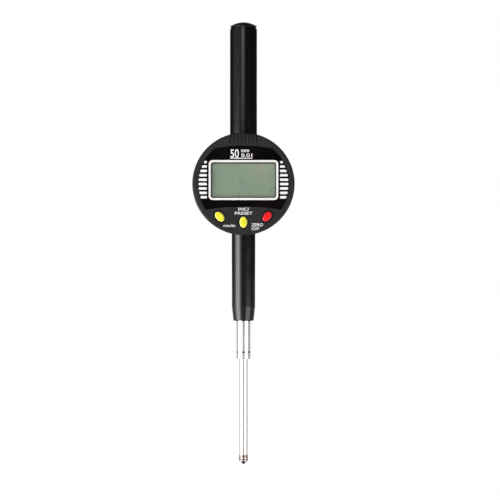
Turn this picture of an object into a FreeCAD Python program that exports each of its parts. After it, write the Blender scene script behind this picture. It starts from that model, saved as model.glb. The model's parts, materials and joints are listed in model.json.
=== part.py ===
import FreeCAD, Part
import os
import Sketcher

# Digital dial indicator, 50 mm class, 8 mm stem.  Millimetres.
# +Z runs up the spindle, the display faces -Y, +X is to its right.
# The origin is on the stem's axis, half way along its bare length.
# A "depth" below is a distance towards the viewer, so depth = -Y.

SIZES = [
    # stem, sleeve and nose
    ("stem_radius", 4.0),
    ("stem_half", 8.7),
    ("stem_edge", 0.2),
    ("stem_shank_radius", 4.5),
    ("stem_shank", 21.3),
    ("shank_gap", 1.0),
    ("stem_bore_radius", 3.2),
    ("nose_length", 4.05),
    ("nose_radius", 4.0),
    ("nose_round", 0.5),
    ("nose_spigot", 2.9),
    ("nose_clearance", 0.25),
    ("seal_width", 0.75),
    ("seal_height", 1.4),
    ("seal_lift", 0.75),
    ("seal_clearance", 0.05),
    ("sleeve_top_radius", 6.7),
    ("sleeve_low_radius", 6.575),
    ("sleeve_end_radius", 5.75),
    ("sleeve_taper", 7.8),
    ("sleeve_round", 0.6),
    ("rail_side_gap", 0.11),
    ("sleeve_spigot_radius", 6.2),
    # spindle and contact point
    ("spindle_radius", 2.35),
    ("spindle_reach", 66.6),
    ("travel", 50.8),
    ("running_clearance", 0.02),
    ("bush_length", 29.0),
    ("bush_gap", 0.3),
    ("thread_radius", 1.25),
    ("thread_length", 5.4),
    ("thread_relief", 0.2),
    ("spindle_edge", 0.15),
    ("contact_radius", 2.5),
    ("contact_neck_radius", 2.1),
    ("contact_neck", 0.2),
    ("contact_length", 3.5),
    ("contact_cone", 0.85),
    ("contact_cone_radius", 1.1),
    ("contact_ring_depth", 0.12),
    ("contact_ring_width", 0.3),
    ("upper_ring_share", 0.38),
    ("lower_ring_share", 0.68),
    ("ball_radius", 1.2),
    ("ball_stand_out", 0.95),
    ("pin_radius", 0.8),
    ("pin_stand_out", 0.2),
    ("pin_height", 49.5),
    ("flat_depth", 1.35),
    ("flat_margin", 1.0),
    ("strip_margin", 0.5),
    ("strip_thickness", 0.25),
    ("strip_half_width", 1.7),
    # case
    ("head_height", 85.4),
    ("case_radius", 27.0),
    ("case_half_depth", 8.2),
    ("case_wall", 3.0),
    ("case_front_wall", 1.5),
    ("spot_face", 1.5),
    ("spigot_length", 3.5),
    ("cover_thickness", 2.0),
    ("cover_round", 0.5),
    ("lip_length", 1.2),
    ("lip_clearance", 0.1),
    ("lip_width", 2.4),
    ("gasket_width", 0.7),
    ("gasket_height", 0.6),
    ("cover_screw_circle", 25.2),
    ("screw_radius", 0.8),
    ("screw_head_radius", 1.4),
    ("screw_head_height", 0.8),
    ("screw_length", 6.0),
    # turret that carries the head
    ("hub_radius", 10.0),
    ("hub_bore_radius", 8.0),
    ("hub_end", 2.6),
    ("hub_clearance", 0.05),
    ("ring_radius", 12.5),
    ("ring_thickness", 0.6),
    ("ring_play", 0.1),
    ("ring_groove", 0.7),
    ("ring_gap", 4.0),
    ("stop_circle", 18.0),
    ("stop_pin_radius", 0.9),
    ("stop_clearance", 0.1),
    ("turn_limit", 135.0),
    # guard tube
    ("tube_radius", 7.65),
    ("tube_bore_radius", 6.15),
    ("tube_length", 62.2),
    ("tube_spigot_radius", 6.45),
    ("tube_step", 1.0),
    ("upper_bush_radius", 4.4),
    ("upper_flange_radius", 5.2),
    ("upper_flange", 1.0),
    ("washer_height", 0.8),
    ("washer_clearance", 0.25),
    ("washer_recess", 0.1),
    ("cap_groove", 1.1),
    ("cap_groove_radius", 7.25),
    ("cap_rim", 0.4),
    ("cap_dome", 2.3),
    ("cap_spigot", 1.8),
    ("cap_clearance", 0.05),
    ("seat_radius", 5.6),
    ("seat_thickness", 0.9),
    ("seat_boss_radius", 3.0),
    ("seat_boss", 2.6),
    ("seat_gap", 0.05),
    ("spring_radius", 4.6),
    ("wire_radius", 0.2),
    ("spring_turns", 14.0),
    # measuring system
    ("board_half_width", 9.0),
    ("board_half_height", 13.0),
    ("board_thickness", 1.0),
    ("reading_gap", 0.15),
    ("mount_thickness", 1.2),
    ("mount_half_height", 18.0),
    ("mount_hole_radius", 6.0),
    ("pillar_radius", 1.5),
    ("pillar_x", 7.3),
    ("pillar_z", 11.0),
    ("rail_pillar_z", 16.0),
    ("rail_gap", 0.85),
    ("rail_thickness", 1.5),
    ("rail_half_width", 2.2),
    ("rail_arm", 4.0),
    ("rail_end", 1.7),
    ("slot_clearance", 0.05),
    ("slot_end", 0.5),
    ("small_screw_radius", 0.6),
    ("small_head_radius", 1.2),
    ("small_head_height", 0.7),
    ("small_screw_length", 2.6),
    ("ribbon_half_width", 3.0),
    ("ribbon_thickness", 0.3),
    # display head
    ("head_radius", 28.5),
    ("head_depth", 8.7),
    ("head_gap", 0.2),
    ("head_round", 0.9),
    ("head_wall", 1.5),
    ("head_front_wall", 1.8),
    ("plate_thickness", 1.0),
    ("plate_clearance", 0.1),
    ("boss_radius", 1.6),
    ("boss_circle", 25.2),
    ("panel_radius", 25.45),
    ("panel_clearance", 0.05),
    ("panel_recess", 1.0),
    ("panel_thickness", 0.85),
    ("panel_top", 21.3),
    ("panel_top_curve", 82.0),
    ("panel_bottom", 12.7),
    ("panel_bottom_curve", 127.0),
    ("window_width", 36.3),
    ("window_height", 19.7),
    ("window_corner", 1.2),
    ("window_lift", 2.1),
    ("window_ledge", 0.35),
    ("lens_thickness", 0.75),
    ("lens_clearance", 0.05),
    ("lcd_width", 38.6),
    ("lcd_height", 22.0),
    ("lcd_thickness", 1.8),
    ("zebra_height", 1.8),
    ("zebra_depth", 1.1),
    ("zebra_end", 1.0),
    ("main_board_radius", 23.3),
    ("main_board_top", 13.2),
    ("chip_gap", 1.0),
    ("chip_drop", 6.0),
    ("chip_width", 6.0),
    ("small_chip_gap", 2.0),
    ("small_chip_height", 2.5),
    # buttons
    ("button_half_width", 2.175),
    ("button_half_height", 3.2),
    ("button_gap", 0.65),
    ("button_flange", 1.0),
    ("button_flange_height", 0.85),
    ("button_stop_gap", 0.05),
    ("button_stand_out", 0.8),
    ("button_press", 0.6),
    ("button_tilt", 40.0),
    ("side_button_x", 13.2),
    ("side_button_drop", 18.2),
    ("middle_button_drop", 21.3),
    ("mat_thickness", 0.6),
    ("mat_pad_radius", 1.6),
    ("mat_edge", 0.5),
    ("mat_drop", 2.0),
    ("pad_gap", 0.2),
    # battery tray
    ("tray_half_width", 7.75),
    ("tray_clearance", 0.1),
    ("tray_face_low", 22.1),
    ("tray_low", 13.5),
    ("rib_count", 8.0),
    ("rib_pitch", 2.05),
    ("rib_groove", 0.8),
    ("rib_depth", 0.9),
    ("rib_margin", 0.8),
    ("cell_radius", 5.8),
    ("cell_height", 5.35),
    ("cell_centre", 19.75),
    ("cell_clearance", 0.05),
    ("contact_strip", 0.16),
    ("contact_strip_half_width", 2.0),
    ("contact_tail", 1.0),
    ("contact_inset", 0.6),
]

doc = FreeCAD.newDocument("dial_indicator")
sheet = doc.addObject("Spreadsheet::Sheet", "Sizes")
for row, (alias, value) in enumerate(SIZES, start=1):
    sheet.set(f"A{row}", alias)
    sheet.set(f"B{row}", str(value))
    sheet.setAlias(f"B{row}", alias)
doc.recompute()

FACING_FRONT = FreeCAD.Rotation(FreeCAD.Vector(1, 0, 0), 90)
UPRIGHT = FreeCAD.Rotation()
PAST = "1"  # how far a cutting tool runs beyond the face that it opens
NODES = []


def size(alias):
    """Reference to one driving dimension."""
    return f"Sizes.{alias}"


def number(expression):
    """Present value of an expression on the driving dimensions."""
    result = sheet.evalExpression(str(expression))
    return float(getattr(result, "Value", result))


def node(piece, name):
    """Make a document object one of the finished sub-parts."""
    piece.Label = name
    NODES.append(piece)
    return piece


def put(piece, x, y, z, rotation=UPRIGHT):
    """Place a piece by three expressions."""
    piece.Placement = FreeCAD.Placement(FreeCAD.Vector(), rotation)
    piece.setExpression("Placement.Base.x", str(x))
    piece.setExpression("Placement.Base.y", str(y))
    piece.setExpression("Placement.Base.z", str(z))
    return piece


def rod(radius, low, high, x="0", y="0"):
    """Upright cylinder between two heights."""
    piece = doc.addObject("Part::Cylinder", "rod")
    piece.setExpression("Radius", radius)
    piece.setExpression("Height", f"({high}) - ({low})")
    return put(piece, x, y, low)


def disc(radius, low, high, x="0", up="0"):
    """Cylinder facing the viewer, between two depths, placed from the head's centre."""
    piece = doc.addObject("Part::Cylinder", "disc")
    piece.setExpression("Radius", radius)
    piece.setExpression("Height", f"({high}) - ({low})")
    return put(piece, x, f"-({low})", f"{size('head_height')} + ({up})", FACING_FRONT)


def cone(radius_low, radius_high, low, high, x="0", up="0"):
    """Cone facing the viewer, between two depths, placed from the head's centre."""
    piece = doc.addObject("Part::Cone", "cone")
    piece.setExpression("Radius1", radius_low)
    piece.setExpression("Radius2", radius_high)
    piece.setExpression("Height", f"({high}) - ({low})")
    return put(piece, x, f"-({low})", f"{size('head_height')} + ({up})", FACING_FRONT)


def block(left, right, bottom, top, low, high):
    """Box between two depths; bottom and top are measured from the head's centre."""
    piece = doc.addObject("Part::Box", "block")
    piece.setExpression("Length", f"({right}) - ({left})")
    piece.setExpression("Width", f"({high}) - ({low})")
    piece.setExpression("Height", f"({top}) - ({bottom})")
    return put(piece, left, f"-({high})", f"{size('head_height')} + ({bottom})")


def ball(radius, height):
    piece = doc.addObject("Part::Sphere", "ball")
    piece.setExpression("Radius", radius)
    return put(piece, "0", "0", height)


def oval(half_width, half_height, low, high, x, up, tilt):
    """Elliptical prism facing the viewer; a positive tilt leans its top to the right."""
    outline = doc.addObject("Part::Ellipse", "oval_outline")
    outline.setExpression("MajorRadius", half_height)
    outline.setExpression("MinorRadius", half_width)
    lean = FreeCAD.Rotation(FreeCAD.Vector(0, 0, 1), 90 - tilt)
    put(outline, x, f"-({low})", f"{size('head_height')} + ({up})", FACING_FRONT * lean)
    piece = doc.addObject("Part::Extrusion", "oval")
    piece.Base = outline
    piece.DirMode = "Custom"
    piece.Dir = FreeCAD.Vector(0, -1, 0)
    piece.Solid = True
    piece.setExpression("LengthFwd", f"({high}) - ({low})")
    return piece


def fuse(*pieces):
    piece = doc.addObject("Part::MultiFuse", "fused")
    piece.Shapes = list(pieces)
    piece.Refine = True
    return piece


def cut(base, *tools):
    piece = doc.addObject("Part::Cut", "cut")
    piece.Base = base
    piece.Tool = tools[0] if len(tools) == 1 else fuse(*tools)
    return piece


def common(first, second):
    piece = doc.addObject("Part::MultiCommon", "common")
    piece.Shapes = [first, second]
    return piece


def group(*pieces):
    """Like pieces kept apart in one sub-part."""
    piece = doc.addObject("Part::Compound", "group")
    piece.Links = list(pieces)
    return piece


def base_plane(body, role):
    return next(plane for plane in body.Origin.OriginFeatures if plane.Role == role)


def outline_sketch(body, plane, points):
    """Closed outline of straight lines through points given as pairs of expressions."""
    sketch = body.newObject("Sketcher::SketchObject", "outline")
    sketch.AttachmentSupport = [(base_plane(body, plane), "")]
    sketch.MapMode = "FlatFace"
    places = [FreeCAD.Vector(number(a), number(b), 0) for a, b in points]
    count = len(points)
    for index in range(count):
        line = Part.LineSegment(places[index], places[(index + 1) % count])
        sketch.addGeometry(line, False)
    for index in range(count):
        sketch.addConstraint(Sketcher.Constraint("Coincident", index, 2, (index + 1) % count, 1))
    for index, (a, b) in enumerate(points):
        pin_down(sketch, "DistanceX", index, places[index].x, a, -2)
        pin_down(sketch, "DistanceY", index, places[index].y, b, -1)
    return sketch


def pin_down(sketch, kind, index, value, expression, axis):
    """Fix one coordinate of a line's start point."""
    if abs(value) < 1e-9:
        sketch.addConstraint(Sketcher.Constraint("PointOnObject", index, 1, axis))
        return
    place = sketch.addConstraint(Sketcher.Constraint(kind, -1, 1, index, 1, value))
    sketch.setExpression(f"Constraints[{place}]", str(expression))


def turned(points, front=False):
    """Lathe-turned body from (radius, height) pairs; with front, height is a depth."""
    body = doc.addObject("PartDesign::Body", "turned")
    sketch = outline_sketch(body, "XZ_Plane", points)
    turn = body.newObject("PartDesign::Revolution", "turn")
    turn.Profile = sketch
    turn.ReferenceAxis = (sketch, ["V_Axis"])
    turn.Angle = 360
    if front:
        put(body, "0", "0", size("head_height"), FACING_FRONT)
    doc.recompute()
    return body


def round_edges(body, radius, chosen):
    """Fillet the edges of a body that the chosen test picks, in the body's own frame."""
    tip = body.Tip
    names = [f"Edge{i}" for i, edge in enumerate(tip.Shape.Edges, start=1) if chosen(edge)]
    if not names:
        raise RuntimeError(f"{body.Name}: no edge to round")
    fillet = body.newObject("PartDesign::Fillet", "rounding")
    fillet.Base = (tip, names)
    fillet.setExpression("Radius", radius)
    body.Tip = fillet
    doc.recompute()
    return body


def rim_at(radius, height):
    """Test for a circular edge of a turned body."""
    def chosen(edge):
        curve = edge.Curve
        if not isinstance(curve, Part.Circle):
            return False
        return abs(curve.Radius - number(radius)) < 1e-4 and abs(curve.Center.z - number(height)) < 1e-4
    return chosen


def rounded_plate(width, height, corner, low, high, up):
    """Rectangular plate facing the viewer with four rounded corners."""
    body = doc.addObject("PartDesign::Body", "plate")
    half_w = f"({width}) / 2"
    half_h = f"({height}) / 2"
    points = [
        (f"-({half_w})", f"-({half_h})"),
        (half_w, f"-({half_h})"),
        (half_w, half_h),
        (f"-({half_w})", half_h),
    ]
    sketch = outline_sketch(body, "XY_Plane", points)
    pad = body.newObject("PartDesign::Pad", "pad")
    pad.Profile = sketch
    pad.setExpression("Length", f"({high}) - ({low})")
    put(body, "0", f"-({low})", f"{size('head_height')} + ({up})", FACING_FRONT)
    doc.recompute()
    return round_edges(body, corner, lambda edge: abs(edge.tangentAt(edge.FirstParameter).z) > 0.9)


# --- levels shared by several pieces -------------------------------------------------

HEAD = size("head_height")
STEM_TOP = size("stem_half")
STEM_LOW = f"-{size('stem_half')}"
SLEEVE_TOP = f"({HEAD} - {size('case_radius')} + {size('spot_face')})"
SPIGOT_TOP = f"({SLEEVE_TOP} + {size('spigot_length')})"
TUBE_LOW = f"({HEAD} + {size('case_radius')} - {size('spot_face')})"
TUBE_SPIGOT_LOW = f"({TUBE_LOW} - {size('spigot_length')})"
TUBE_STEP = f"({TUBE_LOW} + {size('tube_step')})"
TUBE_TOP = f"({TUBE_LOW} + {size('tube_length')})"
BUSH_TOP = f"({TUBE_STEP} - {size('washer_height')} - {size('washer_recess')})"
SEAT_LOW = f"({TUBE_STEP} + {size('seat_gap')})"
SEAT_TOP = f"({SEAT_LOW} + {size('seat_thickness')})"
CAP_SPIGOT_LOW = f"({TUBE_TOP} - {size('cap_spigot')})"
SPINDLE_LOW = f"-{size('spindle_reach')}"

CASE_FRONT = size("case_half_depth")
CASE_BACK = f"-{size('case_half_depth')}"
CASE_INSIDE = f"({CASE_FRONT} - {size('case_front_wall')})"
CASE_BORE = f"({size('case_radius')} - {size('case_wall')})"
PLATE_LOW = f"({CASE_FRONT} + {size('head_gap')})"
PLATE_TOP = f"({PLATE_LOW} + {size('plate_thickness')})"
RING_LOW = f"({PLATE_TOP} + {size('ring_play')})"
HEAD_FRONT = f"({PLATE_LOW} + {size('head_depth')})"
WALL_INSIDE = f"({HEAD_FRONT} - {size('head_front_wall')})"
RECESS = f"({HEAD_FRONT} - {size('panel_recess')})"
LCD_LOW = f"({WALL_INSIDE} - {size('lcd_thickness')})"
MAIN_TOP = f"({LCD_LOW} - {size('zebra_depth')})"
MAIN_LOW = f"({MAIN_TOP} - {size('board_thickness')})"
HUB_TOP = f"({CASE_FRONT} + {size('hub_end')})"

READER_LOW = f"({size('flat_depth')} + {size('strip_thickness')} + {size('reading_gap')})"
READER_TOP = f"({READER_LOW} + {size('board_thickness')})"
MOUNT_LOW = f"({CASE_INSIDE} - {size('mount_thickness')})"
RAIL_TOP = f"-({size('spindle_radius')} + {size('rail_gap')})"
RAIL_LOW = f"({RAIL_TOP} - {size('rail_thickness')})"
PIN_TIP = f"({RAIL_LOW} - {size('pin_stand_out')})"
RAIL_CORNER = f"sqrt({RAIL_LOW} * {RAIL_LOW} + {size('rail_half_width')} * {size('rail_half_width')})"
SLEEVE_BORE = f"({RAIL_CORNER} + {size('rail_side_gap')})"
NOSE_BORE = f"({size('spindle_radius')} + {size('nose_clearance')})"
SEAL_RADIUS = f"({size('spindle_radius')} + {size('seal_width')})"
FLAT_LOW = f"({HEAD} - {size('board_half_height')} - {size('travel')} - {size('flat_margin')})"
FLAT_HIGH = f"({HEAD} + {size('board_half_height')} + {size('flat_margin')})"


def around(circle, degrees):
    """Expressions for a point on a circle about the head's centre."""
    return f"({circle}) * cos({degrees} deg)", f"({circle}) * sin({degrees} deg)"


def screw(radius, head_radius, head_height, length, seat, x, up, towards):
    """Countersunk screw whose head face lies at depth seat; towards is +1 or -1."""
    bottom = f"({seat}) + ({towards}) * ({head_height})"
    tip = f"({seat}) + ({towards}) * ({length})"
    if towards > 0:
        return fuse(cone(head_radius, radius, seat, bottom, x, up), disc(radius, bottom, tip, x, up))
    return fuse(cone(radius, head_radius, bottom, seat, x, up), disc(radius, tip, bottom, x, up))


# --- stem, sleeve and nose -----------------------------------------------------------

def make_stem():
    shank_top = f"{STEM_TOP} + {size('stem_shank')}"
    points = [
        (size("stem_bore_radius"), STEM_LOW),
        (f"{size('stem_radius')} - {size('stem_edge')}", STEM_LOW),
        (size("stem_radius"), f"{STEM_LOW} + {size('stem_edge')}"),
        (size("stem_radius"), STEM_TOP),
        (size("stem_shank_radius"), STEM_TOP),
        (size("stem_shank_radius"), shank_top),
        (size("stem_bore_radius"), shank_top),
    ]
    node(turned(points), "stem")


def make_stem_sleeve():
    socket_top = f"{STEM_TOP} + {size('stem_shank')} + {size('shank_gap')}"
    points = [
        (size("stem_shank_radius"), STEM_TOP),
        (f"{size('sleeve_end_radius')} - {size('sleeve_round')}", STEM_TOP),
        (size("sleeve_end_radius"), f"{STEM_TOP} + {size('sleeve_round')}"),
        (size("sleeve_low_radius"), f"{STEM_TOP} + {size('sleeve_taper')}"),
        (size("sleeve_top_radius"), SLEEVE_TOP),
        (size("sleeve_spigot_radius"), SLEEVE_TOP),
        (size("sleeve_spigot_radius"), SPIGOT_TOP),
        (SLEEVE_BORE, SPIGOT_TOP),
        (SLEEVE_BORE, socket_top),
        (size("stem_shank_radius"), socket_top),
    ]
    node(turned(points), "stem_sleeve")


def make_nose_ring():
    low = f"({STEM_LOW} - {size('nose_length')})"
    seal_low = f"({low} + {size('seal_lift')})"
    seal_top = f"({seal_low} + {size('seal_height')})"
    spigot_radius = f"{size('stem_bore_radius')} - {size('seal_clearance')}"
    spigot_top = f"{STEM_LOW} + {size('nose_spigot')}"
    points = [
        (NOSE_BORE, low),
        (f"{size('nose_radius')} - {size('nose_round')}", low),
        (size("nose_radius"), f"{low} + {size('nose_round')}"),
        (size("nose_radius"), f"{STEM_LOW} - {size('stem_edge')}"),
        (f"{size('nose_radius')} - {size('stem_edge')}", STEM_LOW),
        (spigot_radius, STEM_LOW),
        (spigot_radius, spigot_top),
        (NOSE_BORE, spigot_top),
        (NOSE_BORE, seal_top),
        (SEAL_RADIUS, seal_top),
        (SEAL_RADIUS, seal_low),
        (NOSE_BORE, seal_low),
    ]
    node(turned(points), "nose_ring")
    bore = f"{size('spindle_radius')} + {size('seal_clearance')}"
    node(cut(rod(SEAL_RADIUS, seal_low, seal_top), rod(bore, seal_low, seal_top)), "wiper_seal")


def make_lower_bush():
    low = f"({STEM_LOW} + {size('nose_spigot')} + {size('bush_gap')})"
    top = f"({low} + {size('bush_length')})"
    bore = f"{size('spindle_radius')} + {size('running_clearance')}"
    node(cut(rod(size("stem_bore_radius"), low, top), rod(bore, low, top)), "lower_bush")


# --- guard tube ----------------------------------------------------------------------

def make_guard_tube():
    points = [
        (size("upper_bush_radius"), TUBE_SPIGOT_LOW),
        (size("tube_spigot_radius"), TUBE_SPIGOT_LOW),
        (size("tube_spigot_radius"), TUBE_LOW),
        (size("tube_radius"), TUBE_LOW),
        (size("tube_radius"), TUBE_TOP),
        (size("tube_bore_radius"), TUBE_TOP),
        (size("tube_bore_radius"), TUBE_STEP),
        (size("upper_bush_radius"), TUBE_STEP),
    ]
    node(turned(points), "guard_tube")


def make_tube_cap():
    spigot_radius = f"{size('tube_bore_radius')} - {size('cap_clearance')}"
    rim_low = f"({TUBE_TOP} + {size('cap_groove')})"
    dome_low = f"({rim_low} + {size('cap_rim')})"
    dome_top = f"({dome_low} + {size('cap_dome')})"
    squared = f"({size('tube_radius')} * {size('tube_radius')} + {size('cap_dome')} * {size('cap_dome')})"
    dome_radius = f"({squared} / (2 * {size('cap_dome')}))"
    dome = common(ball(dome_radius, f"{dome_top} - {dome_radius}"), rod(size("tube_radius"), rim_low, dome_top))
    neck = rod(size("cap_groove_radius"), TUBE_TOP, rim_low)
    node(fuse(rod(spigot_radius, CAP_SPIGOT_LOW, TUBE_TOP), neck, dome), "tube_cap")


def make_upper_bush():
    bore = f"{size('spindle_radius')} + {size('running_clearance')}"
    points = [
        (bore, f"{TUBE_SPIGOT_LOW} - {size('upper_flange')}"),
        (size("upper_flange_radius"), f"{TUBE_SPIGOT_LOW} - {size('upper_flange')}"),
        (size("upper_flange_radius"), TUBE_SPIGOT_LOW),
        (size("upper_bush_radius"), TUBE_SPIGOT_LOW),
        (size("upper_bush_radius"), BUSH_TOP),
        (bore, BUSH_TOP),
    ]
    node(turned(points), "upper_bush")


def make_bump_washer():
    top = f"({BUSH_TOP} + {size('washer_height')})"
    inner = f"{size('spindle_radius')} + {size('washer_clearance')}"
    outer = f"{size('upper_bush_radius')} - {size('cap_clearance')}"
    node(cut(rod(outer, BUSH_TOP, top), rod(inner, BUSH_TOP, top)), "bump_washer")


def make_return_spring():
    low = f"({SEAT_TOP} + {size('wire_radius')})"
    length = f"({CAP_SPIGOT_LOW} - {size('wire_radius')} - {low})"
    path = doc.addObject("Part::Helix", "spring_path")
    path.setExpression("Height", length)
    path.setExpression("Pitch", f"{length} / {size('spring_turns')}")
    path.setExpression("Radius", size("spring_radius"))
    path.SegmentLength = 1
    put(path, "0", "0", low)
    section = doc.addObject("Part::Circle", "wire_section")
    section.setExpression("Radius", size("wire_radius"))
    put(section, size("spring_radius"), "0", low, FACING_FRONT)
    doc.recompute()
    spring = doc.addObject("Part::Sweep", "spring")
    spring.Sections = [section]
    spring.Spine = (path, [f"Edge{i}" for i in range(1, len(path.Shape.Edges) + 1)])
    spring.Solid = True
    spring.Frenet = True
    node(spring, "return_spring")


# --- case ----------------------------------------------------------------------------

SCREW_ANGLES = (45, 135, 225, 315)


def make_rear_case():
    groove_top = f"({RING_LOW} + {size('ring_groove')})"
    groove_radius = f"({size('hub_radius')} - {size('ring_groove')})"
    points = [
        (size("hub_bore_radius"), CASE_INSIDE),
        (CASE_BORE, CASE_INSIDE),
        (CASE_BORE, CASE_BACK),
        (size("case_radius"), CASE_BACK),
        (size("case_radius"), CASE_FRONT),
        (size("hub_radius"), CASE_FRONT),
        (size("hub_radius"), RING_LOW),
        (groove_radius, RING_LOW),
        (groove_radius, groove_top),
        (size("hub_radius"), groove_top),
        (size("hub_radius"), HUB_TOP),
        (size("hub_bore_radius"), HUB_TOP),
    ]
    cup = turned(points, front=True)
    openings = [
        rod(size("tube_spigot_radius"), HEAD, TUBE_LOW),
        rod(size("tube_radius"), TUBE_LOW, f"{TUBE_LOW} + {size('case_wall')}"),
        rod(size("sleeve_spigot_radius"), SLEEVE_TOP, HEAD),
        rod(size("sleeve_top_radius"), f"{SLEEVE_TOP} - {size('case_wall')}", SLEEVE_TOP),
        disc(size("stop_pin_radius"), CASE_INSIDE, CASE_FRONT, "0", f"-{size('stop_circle')}"),
    ]
    hole_end = f"{CASE_BACK} + {size('screw_length')}"
    for angle in SCREW_ANGLES:
        x, up = around(size("cover_screw_circle"), angle)
        openings.append(disc(size("screw_radius"), CASE_BACK, hole_end, x, up))
    node(cut(cup, *openings), "rear_case")


def make_back_cover():
    outside = f"({CASE_BACK} - {size('cover_thickness')})"
    lip_top = f"({CASE_BACK} + {size('lip_length')})"
    lip_radius = f"({CASE_BORE} - {size('lip_clearance')})"
    lip_inside = f"({lip_radius} - {size('lip_width')})"
    seal_low = f"({CASE_BACK} + ({size('lip_length')} - {size('gasket_height')}) / 2)"
    seal_top = f"({seal_low} + {size('gasket_height')})"
    seal_inside = f"({lip_radius} - {size('gasket_width')})"
    points = [
        ("0", outside),
        (size("case_radius"), outside),
        (size("case_radius"), CASE_BACK),
        (lip_radius, CASE_BACK),
        (lip_radius, seal_low),
        (seal_inside, seal_low),
        (seal_inside, seal_top),
        (lip_radius, seal_top),
        (lip_radius, lip_top),
        (lip_inside, lip_top),
        (lip_inside, CASE_BACK),
        ("0", CASE_BACK),
    ]
    blank = round_edges(turned(points, front=True), size("cover_round"), rim_at(size("case_radius"), outside))
    head_seat = f"{outside} + {size('screw_head_height')}"
    holes = []
    screws = []
    for angle in SCREW_ANGLES:
        x, up = around(size("cover_screw_circle"), angle)
        holes.append(cone(size("screw_head_radius"), size("screw_radius"), outside, head_seat, x, up))
        holes.append(disc(size("screw_radius"), head_seat, CASE_BACK, x, up))
        screws.append(
            screw(
                size("screw_radius"), size("screw_head_radius"), size("screw_head_height"),
                size("screw_length"), outside, x, up, 1,
            )
        )
    node(cut(blank, *holes), "back_cover")
    node(group(*screws), "back_cover_screws")
    node(cut(disc(lip_radius, seal_low, seal_top), disc(seal_inside, seal_low, seal_top)), "back_seal")


def make_turret():
    groove_radius = f"({size('hub_radius')} - {size('ring_groove')} + {size('hub_clearance')})"
    top = f"({RING_LOW} + {size('ring_thickness')})"
    gap = block(
        f"-{size('ring_gap')} / 2", f"{size('ring_gap')} / 2",
        f"-{size('ring_radius')} - {PAST}", "0", RING_LOW, top,
    )
    ring = cut(disc(size("ring_radius"), RING_LOW, top), disc(groove_radius, RING_LOW, top), gap)
    node(ring, "retaining_ring")
    pin_top = f"({PLATE_TOP} - {size('stop_clearance')} - {size('head_gap')})"
    node(disc(size("stop_pin_radius"), CASE_INSIDE, pin_top, "0", f"-{size('stop_circle')}"), "stop_pin")


# --- measuring system ----------------------------------------------------------------

def corner_places(across, along):
    """The four corners of a rectangle about the head's centre."""
    return [(f"{a}{size(across)}", f"{b}{size(along)}") for a in ("-", "") for b in ("-", "")]


def make_reader():
    width = size("board_half_width")
    tall = size("mount_half_height")
    plate_parts = [block(f"-{width}", width, f"-{tall}", tall, MOUNT_LOW, CASE_INSIDE)]
    holes = [disc(size("mount_hole_radius"), MOUNT_LOW, CASE_INSIDE)]
    board_holes = []
    board_screws = []
    rail_screws = []
    for x, up in corner_places("pillar_x", "pillar_z"):
        plate_parts.append(disc(size("pillar_radius"), READER_TOP, MOUNT_LOW, x, up))
        end = f"({READER_LOW} + {size('small_screw_length')})"
        seat = f"({READER_LOW} + {size('small_head_height')})"
        holes.append(disc(size("small_screw_radius"), READER_TOP, end, x, up))
        board_holes.append(cone(size("small_head_radius"), size("small_screw_radius"), READER_LOW, seat, x, up))
        board_holes.append(disc(size("small_screw_radius"), seat, READER_TOP, x, up))
        board_screws.append(small_screw(READER_LOW, x, up, 1))
    for x, up in corner_places("pillar_x", "rail_pillar_z"):
        plate_parts.append(disc(size("pillar_radius"), RAIL_TOP, MOUNT_LOW, x, up))
        end = f"({RAIL_LOW} + {size('small_screw_length')})"
        holes.append(disc(size("small_screw_radius"), RAIL_TOP, end, x, up))
        rail_screws.append(small_screw(RAIL_LOW, x, up, 1))
    node(cut(fuse(*plate_parts), *holes), "reader_mount")
    high = size("board_half_height")
    board = block(f"-{width}", width, f"-{high}", high, READER_LOW, READER_TOP)
    node(cut(board, *board_holes), "reader_board")
    node(group(*board_screws), "reader_screws")
    node(group(*rail_screws), "rail_screws")


def small_screw(seat, x, up, towards):
    return screw(
        size("small_screw_radius"), size("small_head_radius"), size("small_head_height"),
        size("small_screw_length"), seat, x, up, towards,
    )


def make_guide_rail():
    pin_low = f"({size('pin_height')} - {HEAD} - {size('pin_radius')} - {size('slot_end')})"
    pin_high = f"({size('pin_height')} - {HEAD} + {size('travel')} + {size('pin_radius')} + {size('slot_end')})"
    wide = size("rail_half_width")
    slot = f"({size('pin_radius')} + {size('slot_clearance')})"
    arm = f"({size('rail_arm')} / 2)"
    reach = size("board_half_width")
    strip_low = f"{pin_low} - {size('rail_end')}"
    strip_high = f"{pin_high} + {size('rail_end')}"
    parts = [block(f"-{wide}", wide, strip_low, strip_high, RAIL_LOW, RAIL_TOP)]
    for side in ("-", ""):
        middle = f"{side}{size('rail_pillar_z')}"
        parts.append(block(f"-{reach}", reach, f"{middle} - {arm}", f"{middle} + {arm}", RAIL_LOW, RAIL_TOP))
    seat = f"({RAIL_LOW} + {size('small_head_height')})"
    holes = [block(f"-{slot}", slot, pin_low, pin_high, RAIL_LOW, RAIL_TOP)]
    for x, up in corner_places("pillar_x", "rail_pillar_z"):
        holes.append(cone(size("small_head_radius"), size("small_screw_radius"), RAIL_LOW, seat, x, up))
        holes.append(disc(size("small_screw_radius"), seat, RAIL_TOP, x, up))
    node(cut(fuse(*parts), *holes), "guide_rail")


def make_ribbon_cable():
    wide = size("ribbon_half_width")
    half = f"{size('ribbon_thickness')} / 2"
    strip = block(f"-{wide}", wide, f"-({half})", half, READER_TOP, f"{MAIN_LOW} - {size('ribbon_thickness')}")
    node(strip, "ribbon_cable")


# --- spindle -------------------------------------------------------------------------

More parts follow.
